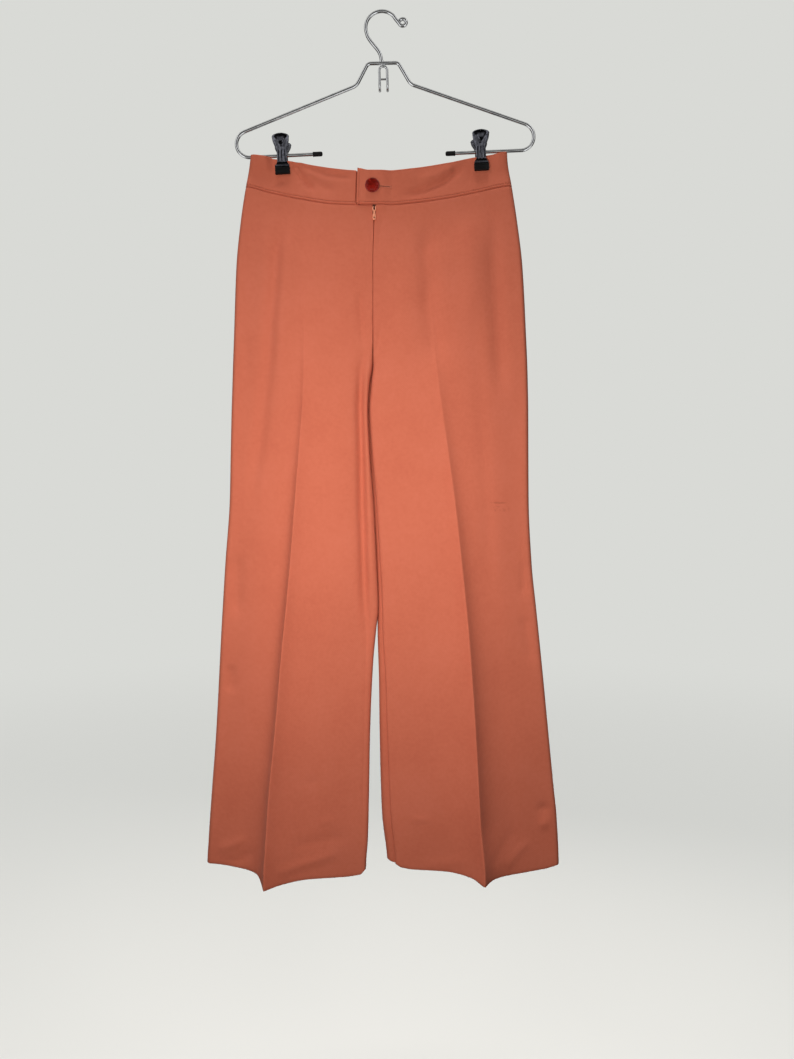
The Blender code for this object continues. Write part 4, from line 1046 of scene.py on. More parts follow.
    def points(self) -> Array:
        """World points of the sheet, from under the waistband down, round the hem and up inside.

        Returns:
            Points of shape (rows, columns, 3), in millimetres.
        """
        count = round((LEG_TOP_Z - HEM_Z) / self.row_mm)
        levels = np.linspace(LEG_TOP_Z - 6.0, HEM_Z + self.hem_round, count)
        levels = np.concatenate([LEG_TOP_Z + np.array([self.under_band, 2.5, 0.6, -0.2, -0.9, -1.7, -3.0]), levels])
        columns = 2 * (len(self.allowance) + len(self.roll_angles)) + self.outer_columns + len(self.crease_offsets)
        columns += self.inner_columns
        level = np.repeat(levels[:, None], columns, axis=1)
        z = level.copy()
        for _ in range(4):
            reach, depth = self.place(z)
            z = self.heights(reach, level)
        reach, depth = self.place(z)
        drawn_in = self.into_seam * np.exp(-np.maximum(LEG_TOP_Z + 0.6 - levels, 0.0) / 1.1)[:, None]
        depth = depth - np.minimum(drawn_in, (depth - SEAM_HALF).clip(0) * 0.6)
        rows = [np.stack([reach, depth, z], axis=2)]
        turns = [(1 - math.cos(a), -math.sin(a)) for a in np.radians((30, 60, 90, 120, 150))]
        steps = [(self.hem_round * i, self.hem_round * k) for i, k in turns]
        steps += [(2 * self.hem_round, up) for up in np.linspace(0.0, self.turn_up_mm, 16)]
        for inside, up in steps:
            height = z[-1:] + up
            wall = self.place(height if up > 0 else z[-1:])
            row = self.inset(*wall, inside + 0.35 * float(ease(up / 12)))
            rows.append(np.stack([*row, height], axis=2))
        reach, depth, z = np.moveaxis(np.concatenate(rows), 2, 0)
        x = CENTRE_X + self.leg * reach
        y = np.where(self.front, -depth, depth) - end_forward(x, z)
        points = np.stack([x, y, z], axis=2)
        return points[:, ::-1] if (self.leg < 0) == self.front else points

    def build(self, cloth: Material) -> Piece:
        """Builds and dresses the panel, and hides its solid.

        Args:
            cloth: the garment's cloth.

        Returns:
            The panel.
        """
        piece = sheet_grid(f"{self.name}_panel", self.points(), cloth)
        thicken(piece, self.cloth_mm)
        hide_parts(self.name)
        return piece


@dataclass
class Waistband:
    """The three waistband pieces, each a doubled strip with rounded edges and topstitching."""

    step_mm: float = 0.8
    lows: tuple[float, ...] = (
        0.0, 0.006, 0.014, 0.024, 0.034, 0.042, 0.05, 0.058, 0.068, 0.082, 0.105, *np.linspace(0.13, 0.88, 32),
        0.9, 0.912, 0.921, 0.927, 0.9326, 0.938, 0.944, 0.953, 0.965, 0.975, 0.983, 0.99, 0.995, 1.0,
    )
    roll_angles: tuple[float, ...] = (0.0, 8.0, 18.0, 30.0, 44.0, 58.0, 74.0)
    cloth_mm: float = 2.2
    stitch_in: float = 3.2
    strip_mm: float = 47.5
    corner_mm: float = 5.0
    tab_mm: float = 48.0
    seam_lap: float = 0.4
    trough_mm: float = 7.0
    foot_roll: float = 2.4

    def side_at(self, leg: int, low: Array, front: bool) -> Array:
        """Reach of the side seam at each row.

        Args:
            leg: -1 for the wearer's right half and 1 for the left.
            low: the rows, 0 at the top edge and 1 at the foot.
            front: whether it is at the front.

        Returns:
            The seam's reach, shaped as low.
        """
        reach = np.full_like(low, 180.0)
        for _ in range(4):
            z = band_height(CENTRE_X + leg * reach, low, front)
            reach = table_at(OUTLINES[leg], WAIST_Z - z)[0]
        return reach

    def half(self, leg: int, front: bool, stop: Array) -> Array:
        """Points of one half's outer face from the side seam to a stop near the centre.

        Args:
            leg: -1 for the wearer's right half and 1 for the left.
            front: whether it is at the front.
            stop: reach of the last column at each row, below 0 past the centre.

        Returns:
            World points of shape (rows, columns, 3), in millimetres.
        """
        low = np.array(self.lows)
        side = self.side_at(leg, low, front)
        turn = np.radians(np.array(self.roll_angles))[None, :]
        edge = (side - SIDE_ROLL)[:, None]
        count = round((float(edge.max()) - float(stop.min())) / self.step_mm)
        share = np.linspace(0.0, 1.0, count)[None, :]
        rolled = side[:, None] - SIDE_ROLL * (1 - np.cos(turn))
        face = edge + (stop[:, None] - edge) * share
        reach = np.concatenate([rolled, face], axis=1)
        lows = np.repeat(low[:, None], reach.shape[1], axis=1)
        x = CENTRE_X + leg * reach
        z = band_height(x, lows, front)
        depth = waist_depth(x, lows, front)
        rounded = waist_depth(CENTRE_X + leg * edge, low[:, None], front)
        depth[:, :len(self.roll_angles)] = SEAM_HALF + (rounded - SEAM_HALF) * np.sin(turn)
        calm = ease((side[:, None] - reach) / 20)
        depth += 1.25 * fold_relief(x, z, front) * calm + 0.35 * slack(x, z, front) * calm
        if front and leg < 0:
            depth -= self.trough_mm * np.exp(-(((x - CENTRE_X - self.tab_stop()[:, None] - 0.3) / 1.4) ** 2))
        if front and leg > 0:
            past = np.clip(x, CENTRE_X, None)
            depth += np.where(x < CENTRE_X, TAB_STEP, lap(past, band_height(past, 1.0, True)))
            z += TAB_CORNER_RISE * ease((CENTRE_X - x - 8) / 15) * (1 - lows)
        depth -= self.stitch_valley(lows, reach, stop[:, None], front and leg > 0)
        depth -= self.foot_roll * (lows.clip(0.968) - 0.968) ** 2 / 0.032**2
        depth -= 0.5 * (0.024 - lows).clip(0) ** 2 / 0.024**2
        y = np.where(front, -depth, depth) - end_forward(x, z)
        return np.stack([x, y, z], axis=2)

    def stitch_valley(self, low: Array, reach: Array, stop: Array, tabbed: bool) -> Array:
        """The shallow valley that a row of topstitching pulls into the cloth.

        Args:
            low: 0 at the strip's top edge and 1 at its foot.
            reach: places outwards from the centre line.
            stop: reach of the strip's free end at each row.
            tabbed: whether a row also runs down the free end.

        Returns:
            The valley's depth at each place.
        """
        valley = 0.9 * np.exp(-(((1 - low) * self.strip_mm - self.stitch_in) / 0.8) ** 2)
        valley = valley + 0.25 * np.exp(-((low * self.strip_mm - 2.4) / 0.75) ** 2)
        if tabbed:
            valley = valley + 0.8 * np.exp(-((reach - stop - self.stitch_in) / 0.9) ** 2)
        return valley

    def tab_stop(self) -> Array:
        """Reach of the tab's free end at each row, with its lower corner cut round.

        Returns:
            The reach, below 0 past the centre.
        """
        low = np.array(self.lows)
        corner = self.corner_mm / self.tab_mm
        into = np.clip((low - 1 + corner) / corner, 0.0, 1.0)
        return -(self.tab_edge(low) - self.corner_mm * (1 - np.sqrt(1 - into * into)))

    def tab_edge(self, low: Array) -> Array:
        """Reach of the tab's free edge, which leans in towards its top."""
        return TAB_REACH - 1.5 * (1 - low)

    def build(self, cloth: Material, thread: Material) -> list[Piece]:
        """Builds the three strips and their stitching.

        Args:
            cloth: the garment's cloth.
            thread: the topstitching's thread.

        Returns:
            The three strips and the stitching.
        """
        level = np.ones(len(self.lows))
        right = self.half(-1, True, -UNDERLAP_REACH * level)
        left = self.half(1, True, self.tab_stop())
        lapped = self.seam_lap * level
        back = np.concatenate([self.half(-1, False, lapped), self.half(1, False, lapped)[:, ::-1]], axis=1)
        plans = (
            ("waistband_front_right", right[:, ::-1], 0.198),
            ("waistband_front_left", left, 0.224),
            ("waistband_back", back, 0.375),
        )
        pieces = []
        for name, points, width in plans:
            piece = sheet_grid(f"{name}_strip", points, cloth)
            thicken(piece, self.cloth_mm, round_mm=0.7)
            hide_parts(name)
            pieces.append(piece)
        low = 1 - self.stitch_in / self.strip_mm
        runs = [
            ("band_stitches_right", self.run(right, low, skip=30)),
            ("band_stitches_left", self.run(left, low, skip=4)),
            ("band_stitches_back", self.run(back, low, skip=0)),
            ("band_stitches_tab", self.tab_run(left)),
        ]
        for name, path in runs:
            pieces.append(stitches(name, path, thread))
        return pieces

    def run(self, points: Array, low: float, skip: int) -> list[tuple[Vector, Vector]]:
        """Places along a strip at one share of its height.

        Args:
            points: the strip's outer face.
            low: the share, 0 at the top edge and 1 at the foot.
            skip: how many columns are left out at the strip's free end.

        Returns:
            Each place with the cloth's outward direction.
        """
        row = float(np.interp(low, self.lows, np.arange(len(self.lows))))
        index = int(row)
        part = row - index
        line = points[index] * (1 - part) + points[index + 1] * part
        above = points[index] - points[index + 1]
        path = []
        last = len(line) - 1 - skip
        for i in range(3, last - 2):
            along = line[i + 1] - line[i - 1]
            out = np.cross(along, above[i])
            if out[1] * (1 if line[i][1] > 0 else -1) < 0:
                out = -out
            path.append((Vector(line[i]), Vector(out / np.linalg.norm(out))))
        return path

    def tab_run(self, points: Array) -> list[tuple[Vector, Vector]]:
        """Places down the tab's free edge, inside it by the stitching's distance.

        Args:
            points: the tab's strip.

        Returns:
            Each place with the cloth's outward direction.
        """
        path = []
        for row in range(9, len(self.lows) - 9):
            line = points[row]
            away = np.linalg.norm(line - line[-1], axis=1)
            place = line[int(np.argmin(np.abs(away - self.stitch_in)))]
            path.append((Vector(place), Vector((0.0, -1.0, 0.0))))
        return path


def stitches(name: str, path: list[tuple[Vector, Vector]], thread: Material, length: float = 2.7,
             pitch: float = 3.3, width: float = 0.6) -> Piece:
    """A row of lock stitches along a path, each a short rounded bar of thread.

    Args:
        name: the piece's name.
        path: places with the cloth's outward direction.
        thread: the thread's finish.
        length: a stitch's length, in millimetres.
        pitch: the distance from one stitch to the next.
        width: a stitch's thickness.

    Returns:
        All the stitches as one piece.
    """
    shape = bmesh.new()
    places = np.array([p for p, _ in path])
    outs = np.array([o for _, o in path])
    run = np.concatenate([[0.0], np.cumsum(np.linalg.norm(np.diff(places, axis=0), axis=1))])
    for at in np.arange(pitch, run[-1] - pitch, pitch):
        middle = Vector([float(np.interp(at, run, places[:, i])) for i in range(3)])
        ahead = Vector([float(np.interp(at + 0.6, run, places[:, i])) for i in range(3)])
        out = Vector([float(np.interp(at, run, outs[:, i])) for i in range(3)]).normalized()
        along = (ahead - middle).normalized()
        turned = Matrix((along, out.cross(along).normalized(), out)).transposed().to_4x4()
        size = Matrix.Diagonal((length / 2, width / 2, width / 2, 1.0))
        shift = Matrix.Translation(middle + out * 0.08)
        bmesh.ops.create_uvsphere(shape, u_segments=6, v_segments=4, radius=1.0,
                                  matrix=shift @ turned @ size @ Matrix.Rotation(math.pi / 2, 4, "Y"))
    return finish_piece(name, shape, thread)


def face_y(points: Array, x: float, z: float) -> float:
    """Reads how far forward a grid of points lies at a place seen from the front.

    Args:
        points: the grid, in millimetres.
        x: the place across.
        z: the place's height.

    Returns:
        The grid's Y there.
    """
    away = (points[..., 0] - x) ** 2 + (points[..., 2] - z) ** 2
    near = np.argsort(away, axis=None)[:4]
    weights = 1 / (away.ravel()[near] + 1e-3)
    return float((points[..., 1].ravel()[near] * weights).sum() / weights.sum())


def revolve(shape: Shape, profile: Sequence[tuple[float, float]], sides: int, matrix: Matrix) -> None:
    """Spins (radius, along) places about the local Z axis into a closed shape, then places it.

    Args:
        shape: the bmesh that gets the shape.
        profile: the places, which begin and end on the axis or close on themselves.
        sides: how many steps a full turn takes.
        matrix: the shape's place.
    """
    known = set(shape.verts)
    verts = [shape.verts.new((radius, 0.0, along)) for radius, along in profile]
    edges = [shape.edges.new(pair) for pair in zip(verts, verts[1:])]
    bmesh.ops.spin(shape, geom=verts + edges, cent=(0, 0, 0), axis=(0, 0, 1), angle=math.tau, steps=sides,
                   use_merge=True)
    fresh = [vert for vert in shape.verts if vert not in known]
    bmesh.ops.transform(shape, matrix=matrix, verts=fresh)
    bmesh.ops.remove_doubles(shape, verts=fresh, dist=0.01)


def plate(shape: Shape, outline: Sequence[tuple[float, float]], low: float, high: float,
          matrix: Matrix, round_mm: float) -> None:
    """Makes a flat plate, thick along Y, with its edges rounded, then places it.

    Args:
        shape: the bmesh that gets the plate.
        outline: its (x, z) outline.
        low: its face's Y nearer the front.
        high: its other face's Y.
        matrix: the plate's place.
        round_mm: how far its edges are rounded.
    """
    known = set(shape.verts)
    face = shape.faces.new([shape.verts.new((x, low, z)) for x, z in outline])
    grown = bmesh.ops.extrude_face_region(shape, geom=[face])
    moved = [item for item in grown["geom"] if isinstance(item, bmesh.types.BMVert)]
    bmesh.ops.translate(shape, verts=moved, vec=(0, high - low, 0))
    fresh = [vert for vert in shape.verts if vert not in known]
    edges = {edge for vert in fresh for edge in vert.link_edges}
    bmesh.ops.bevel(shape, geom=list(edges), offset=round_mm, offset_type="OFFSET", segments=2, profile=0.5,
                    affect="EDGES", clamp_overlap=True, material=-1)
    fresh = [vert for vert in shape.verts if vert not in known]
    bmesh.ops.transform(shape, matrix=matrix, verts=fresh)


def wire_piece(name: str, route: Sequence[Sequence[float]], diameter: float, material: Material,
               sides_level: int = 6) -> Piece:
    """Makes a round wire with filled ends.

    Args:
        name: the piece's name.
        route: world points along the wire's middle, in millimetres.
        diameter: the wire's thickness.
        material: the wire's finish.
        sides_level: how finely its section is rounded.

    Returns:
        The wire, as a mesh at the origin.
    """
    data = bpy.data.curves.new(name, "CURVE")
    data.dimensions = "3D"
    data.bevel_depth = diameter / 2 * MM
    data.bevel_resolution = sides_level
    data.use_fill_caps = True
    spline = data.splines.new("POLY")
    spline.points.add(len(route) - 1)
    for point, at in zip(spline.points, route):
        point.co = (*(Vector(at) * MM), 1.0)
    spline.use_smooth = True
    curve = bpy.data.objects.new(name, data)
    link(curve)
    graph = bpy.context.evaluated_depsgraph_get()
    mesh = bpy.data.meshes.new_from_object(curve.evaluated_get(graph))
    bpy.data.objects.remove(curve, do_unlink=True)
    mesh.materials.clear()
    mesh.materials.append(material)
    mesh.shade_smooth()
    mesh.set_sharp_from_angle(angle=math.radians(50))
    piece = bpy.data.objects.new(name, mesh)
    link(piece)
    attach(piece, "trousers")
    return piece


def tilted(x: float, z: float) -> tuple[float, float]:
    """A place of the hanger's plane, turned as the hanger hangs."""
    return (x * math.cos(TILT) - z * math.sin(TILT), x * math.sin(TILT) + z * math.cos(TILT))


@dataclass
class Hanger:
    """The bent-wire hanger: its frame, hook, small cascade hook and the bars' rubber tips."""

    turn_steps: int = 14
    cascade_wire: float = 3.4
    prong: float = 5.5
    bend: float = 6.0
    shank: float = 26.0
    tip_length: float = 13.0
    tip_radius: float = 3.2

    def rounded(self, corners: Sequence[tuple[float, float, float]]) -> list[tuple[float, float]]:
        """Rounds the corners of a route.

        Args:
            corners: (x, z, radius) corners, of which the ends are left sharp.

        Returns:
            The route's (x, z) places.
        """
        route = [tuple(corners[0][:2])]
        for before, corner, after in zip(corners, corners[1:], corners[2:]):
            here = Vector(corner[:2])
            back = (Vector(before[:2]) - here).normalized()
            ahead = (Vector(after[:2]) - here).normalized()
            opening = back.angle(ahead)
            length = corner[2] / math.tan(opening / 2)
            centre = here + (back + ahead).normalized() * corner[2] / math.sin(opening / 2)
            start = here + back * length - centre
            turn = start.angle_signed(here + ahead * length - centre)
            for index in range(self.turn_steps + 1):
                spoke = start.copy()
                spoke.rotate(Matrix.Rotation(-turn * index / self.turn_steps, 2))
                route.append(tuple(centre + spoke))
        route.append(tuple(corners[-1][:2]))
        return route

    def frame_half(self, side: int) -> list[tuple[float, float]]:
        """One half of the frame, from the middle of its neck round to the bar's inner end.

        Args:
            side: -1 for the wearer's right half and 1 for the left.

        Returns:
            The half's (x, z) places.
        """
        arm_end = -102.5 - 0.379 * (FRAME_HALF_WIDTH - 38.5)
        corners = (
            (0.0, NECK_Z, 0.0), (21.5, NECK_Z, 7.0), (38.5, -102.5, 16.0), (FRAME_HALF_WIDTH, arm_end, 19.0),
            (FRAME_HALF_WIDTH, BAR_Z, 19.0), (BAR_END[side], BAR_INNER_Z[side], 0.0),
        )
        return [(side * x, z) for x, z in self.rounded(corners)]

    def hook_route(self) -> list[tuple[float, float]]:
        """From the weld on the neck up round the hook to its curled end.

        Returns:
            The hook's (x, z) places.
        """
        neck = [(-2.0, NECK_Z + WIRE / 2 - 0.4), (-2.4, -65.0), (-3.4, -59.6), (-5.6, -54.6), (-8.8, -50.0),
                (-12.6, -45.3), (-16.2, -40.6), (-19.0, -36.4), (-20.9, -32.8)]
        centre = WIRE / 2 - HOOK_RADIUS
        turns = np.radians(np.arange(193, 41, -6))
        bow = [(HOOK_RADIUS * math.cos(a), centre + HOOK_RADIUS * math.sin(a)) for a in turns]
        dip = [(19.0, -8.4), (20.8, -10.8), (22.8, -13.4)]
        turns = np.radians(np.arange(-142, 161, 14))
        curl = [(29.6 + 4.9 * math.cos(a), -14.4 + 4.9 * math.sin(a)) for a in turns]
        return neck + bow + dip + curl

    def build(self, chrome: Material, rubber: Material) -> list[Piece]:
        """Builds the wires, their weld beads and the rubber tips.

        Args:
            chrome: the wires' plate.
            rubber: the tips' rubber.

        Returns:
            The hanger's pieces.
        """
        flat = [tilted(x, z) for x, z in self.frame_half(-1)[::-1] + self.frame_half(1)[1:]]
        frame_wire = wire_piece("frame_wire", [(x, 0.0, z) for x, z in flat], WIRE, chrome)
        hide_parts("hanger_frame")
        route = [tilted(x, z) for x, z in self.hook_route()]
        hook = wire_piece("hook_wire", [(x, 0.0, z) for x, z in route], WIRE, chrome)
        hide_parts("hanger_hook")
        pieces = [frame_wire, hook, *self.build_cascade(chrome), self.build_welds(chrome)]
        for side, label in ((-1, "right"), (1, "left")):
            pieces.append(self.build_tip(side, label, rubber))
        return pieces

    def build_cascade(self, chrome: Material) -> list[Piece]:
        """The small double-wire hook under the neck, and the rung across it.

        Args:
            chrome: the wires' plate.

        Returns:
            The hook and the rung.
        """
        arch = NECK_Z - WIRE / 2 - SOLID_GAP - self.cascade_wire / 2 - self.prong
        foot = arch - self.shank
        half = []
        for angle in range(90, -1, -10):
            turn = math.radians(angle)
            half.append((self.prong * math.cos(turn), 0.0, arch + self.prong * math.sin(turn)))
        for angle in range(0, 181, 10):
            turn = math.radians(angle)
            half.append((self.prong, self.bend * math.cos(turn) - self.bend, foot - self.bend * math.sin(turn)))
        half.append((self.prong, -2 * self.bend, foot + 4.0))
        whole = [(-x, y, z) for x, y, z in reversed(half)] + half[1:]
        placed = [(tilted(x, z)[0], y, tilted(x, z)[1]) for x, y, z in whole]
        hook = wire_piece("cascade_wire", placed, self.cascade_wire, chrome)
        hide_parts("hanger_cascade_hook")
        ends = [tilted(x, arch - self.shank / 2) for x in (-self.prong, self.prong)]
        rung = wire_piece("cascade_rung_wire", [(x, 0.0, z) for x, z in ends], 2.6, chrome)
        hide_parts("hanger_cascade_rung")
        return [hook, rung]

    def build_welds(self, chrome: Material) -> Piece:
        """Plated weld beads where the hook and the cascade hook meet the neck.

        Args:
            chrome: the wires' plate.

        Returns:
            Both beads as one piece.
        """
        shape = bmesh.new()
        for x, z, size in ((-2.0, NECK_Z + 2.3, (3.6, 3.0, 1.5)), (0.0, NECK_Z - 2.7, (2.9, 2.4, 1.1))):
            at = tilted(x, z)
            matrix = Matrix.Translation((at[0], 0.0, at[1])) @ Matrix.Diagonal((*size, 1.0))
            bmesh.ops.create_uvsphere(shape, u_segments=24, v_segments=12, radius=1.0, matrix=matrix)
        return finish_piece("hook_welds", shape, chrome)

    def build_tip(self, side: int, label: str, rubber: Material) -> Piece:
        """A moulded rubber tip on the end of one bar, with a lip where it was pushed on.

        Args:
            side: -1 for the wearer's right bar and 1 for the left.
            label: the side's name.
            rubber: the tip's rubber.

        Returns:
            The tip.
        """
        inner = Vector(tilted(side * BAR_END[side], BAR_INNER_Z[side]))
        outer = Vector(tilted(side * FRAME_HALF_WIDTH, BAR_Z))
        along = (inner - outer).normalized()
        radius = self.tip_radius
        length = self.tip_length + SOLID_GAP
        profile = [(0.0, -0.6), (WIRE / 2 + 0.1, -0.6), (radius + 0.15, -0.4), (radius + 0.2, 0.6), (radius, 1.2),
                   (radius, length - 2.2), (radius - 0.5, length - 0.9), (radius - 1.4, length - 0.2), (0.0, length)]
        turn = Vector((0, 0, 1)).rotation_difference(Vector((along.x, 0.0, along.y))).to_matrix().to_4x4()
        shape = bmesh.new()
        revolve(shape, profile, 32, Matrix.Translation((inner.x, 0.0, inner.y)) @ turn)
        tip = finish_piece(f"rubber_tip_{label}", shape, rubber)
        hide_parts(f"hanger_tip_{label}")
        return tip


@dataclass
class Clip:
    """One trouser clip: two pressed leaves, a wound spring round the bar and two ribbed pads."""

    side: int
    leaf_mm: float = 1.2
    leaf_top: float = 24.8
    leaf_foot: float = -18.5
    pad_top: float = -18.3
    pad_near: float = 3.3
    pad_half_width: float = 10.4
    pad_depth: float = 5.0
    pad_height: float = 10.0
    ribs: int = 3
    rows: tuple[tuple[float, float, float, float], ...] = (
        (24.8, 5.6, 14.4, 0.0), (23.4, 9.0, 14.2, 0.0), (20.0, 11.3, 13.2, 0.1), (16.4, 10.9, 11.8, 0.2),
        (12.2, 9.4, 10.0, 0.4), (8.0, 7.7, 7.8, 0.7), (4.6, 6.9, 6.3, 0.8), (2.2, 6.8, 5.9, 0.8),
        (-9.6, 6.8, 5.7, 0.9), (-12.0, 7.1, 5.6, 0.2), (-15.0, 8.8, 5.7, 0.0), (-18.0, 10.1, 7.2, 0.0),
    )

    @property
    def label(self) -> str:
        """The wearer's side on which the clip sits."""
        return "right" if self.side < 0 else "left"

    @property
    def seat(self) -> Matrix:
        """The clip's place on its bar, turned square to it."""
        outer = Vector(tilted(self.side * FRAME_HALF_WIDTH, BAR_Z))
        inner = Vector(tilted(self.side * BAR_END[self.side], BAR_INNER_Z[self.side]))
        slope = math.atan((outer.y - inner.y) / (outer.x - inner.x))
        x = CENTRE_X + self.side * CLIP_REACH[self.side]
        z = outer.y + (x - outer.x) * math.tan(slope)
        return Matrix.Translation((x, 0.0, z)) @ Matrix.Rotation(-slope, 4, "Y")

    def leaf(self, toward: int, metal: Material) -> Piece:
        """One pressed leaf, with a heart pressed into its handle and ribs down its neck.

        Args:
            toward: -1 for the front leaf and 1 for the back one.
            metal: the leaf's plate.

        Returns:
            The leaf.
        """
        count_up, count_across = 96, 40
        up = np.linspace(self.leaf_top, self.leaf_foot, count_up)[:, None]
        across = np.linspace(-1.0, 1.0, count_across)[None, :]
        data = np.array(self.rows)[::-1]
        half, depth, rib = (smooth_curve(data[:, 0], data[:, i], up) for i in (1, 2, 3))
        crown = np.clip((up - 20.6) / 4.2, 0.0, 1.0)
        rounded = 11.3 * np.sqrt(np.clip(1 - crown**2.4, 0.0, 1.0)) + 0.4
        half = np.where(crown > 0, rounded, half)
        flutes = rib * (0.5 - 0.5 * np.cos(math.pi * self.ribs * (across + 1)))
        curl = 1.6 * across**4 * ease((up - 2) / 12)
        width = across * half
        heart = np.abs(width) * 0.9 + (16.0 - up) * 0.62
        rim = 0.55 * np.exp(-(((heart - 4.2) / 1.0) ** 2)) * ease((20.5 - up) / 2.5) * ease((up - 9) / 2)
        dish = -0.5 * np.exp(-((width / 3.4) ** 2) - ((up - 16.6) / 3.0) ** 2)
        x = np.broadcast_to(width, (count_up, count_across))
        y = toward * (depth + flutes - curl + rim + dish)
        z = np.broadcast_to(up, (count_up, count_across))
        points = np.stack([x, y, z], axis=2)
        turn = np.array(self.seat)
        points = points @ turn[:3, :3].T + turn[:3, 3]
        if toward > 0:
            points = points[:, ::-1]
        name = f"clip_{self.label}_{'front' if toward < 0 else 'back'}_leaf"
        piece = sheet_grid(f"pressed_{name}", points, metal)
        thicken(piece, self.leaf_mm, round_mm=0.35)
        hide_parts(name)
        return piece

    def pad(self, toward: int, rubber: Material) -> Piece:
        """A moulded pad that grips the waistband, ribbed on its outer face.

        Args:
            toward: -1 for the front pad and 1 for the back one.
            rubber: the pad's rubber.

        Returns:
            The pad.
        """
        top, near, width = self.pad_top, self.pad_near, self.pad_half_width
        shape = bmesh.new()
        outline = [(-width, top - self.pad_height), (width, top - self.pad_height), (width, top), (-width, top)]
        span = sorted((toward * near, toward * (near + self.pad_depth - 0.5)))
        plate(shape, outline, span[0], span[1], self.seat, 0.8)
        for index in range(4):
            z = top - 2.0 - index * 2.05
            ends = [(-width + 1.2, z - 0.5), (width - 1.2, z - 0.5), (width - 1.2, z + 0.5), (-width + 1.2, z + 0.5)]
            face = sorted((toward * (near + self.pad_depth - 0.9), toward * (near + self.pad_depth)))
            plate(shape, ends, face[0], face[1], self.seat, 0.3)
        name = f"clip_{self.label}_{'front' if toward < 0 else 'back'}_pad"
        piece = finish_piece(f"ribbed_{name}", shape, rubber)
        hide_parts(name)
        return piece

    def spring(self, metal: Material) -> Piece:
        """The spring's coil, wound close round the bar.

        Args:
            metal: the coil's plate.

        Returns:
            The coil.
        """
        turns, thick, radius = 5, 1.25, WIRE / 2 + 0.95
        length = 10.6
        route = []
        for index in range(turns * 24 + 1):
            angle = math.tau * index / 24
            along = -length / 2 + thick / 2 + (length - thick) * index / (turns * 24)
            place = self.seat @ Vector((along, radius * math.cos(angle), radius * math.sin(angle)))
            route.append(tuple(place))
        coil = wire_piece(f"wound_clip_{self.label}_spring", route, thick, metal, sides_level=3)
        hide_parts(f"clip_{self.label}_spring")
        return coil

    def build(self, metal: Material, rubber: Material) -> list[Piece]:
        """Builds both leaves, both pads and the spring.

        Args:
            metal: the leaves' and the spring's plate.
            rubber: the pads' rubber.

        Returns:
            The clip's pieces.
        """
        pieces = [self.spring(metal)]
        for toward in (-1, 1):
            pieces += [self.leaf(toward, metal), self.pad(toward, rubber)]
        return pieces


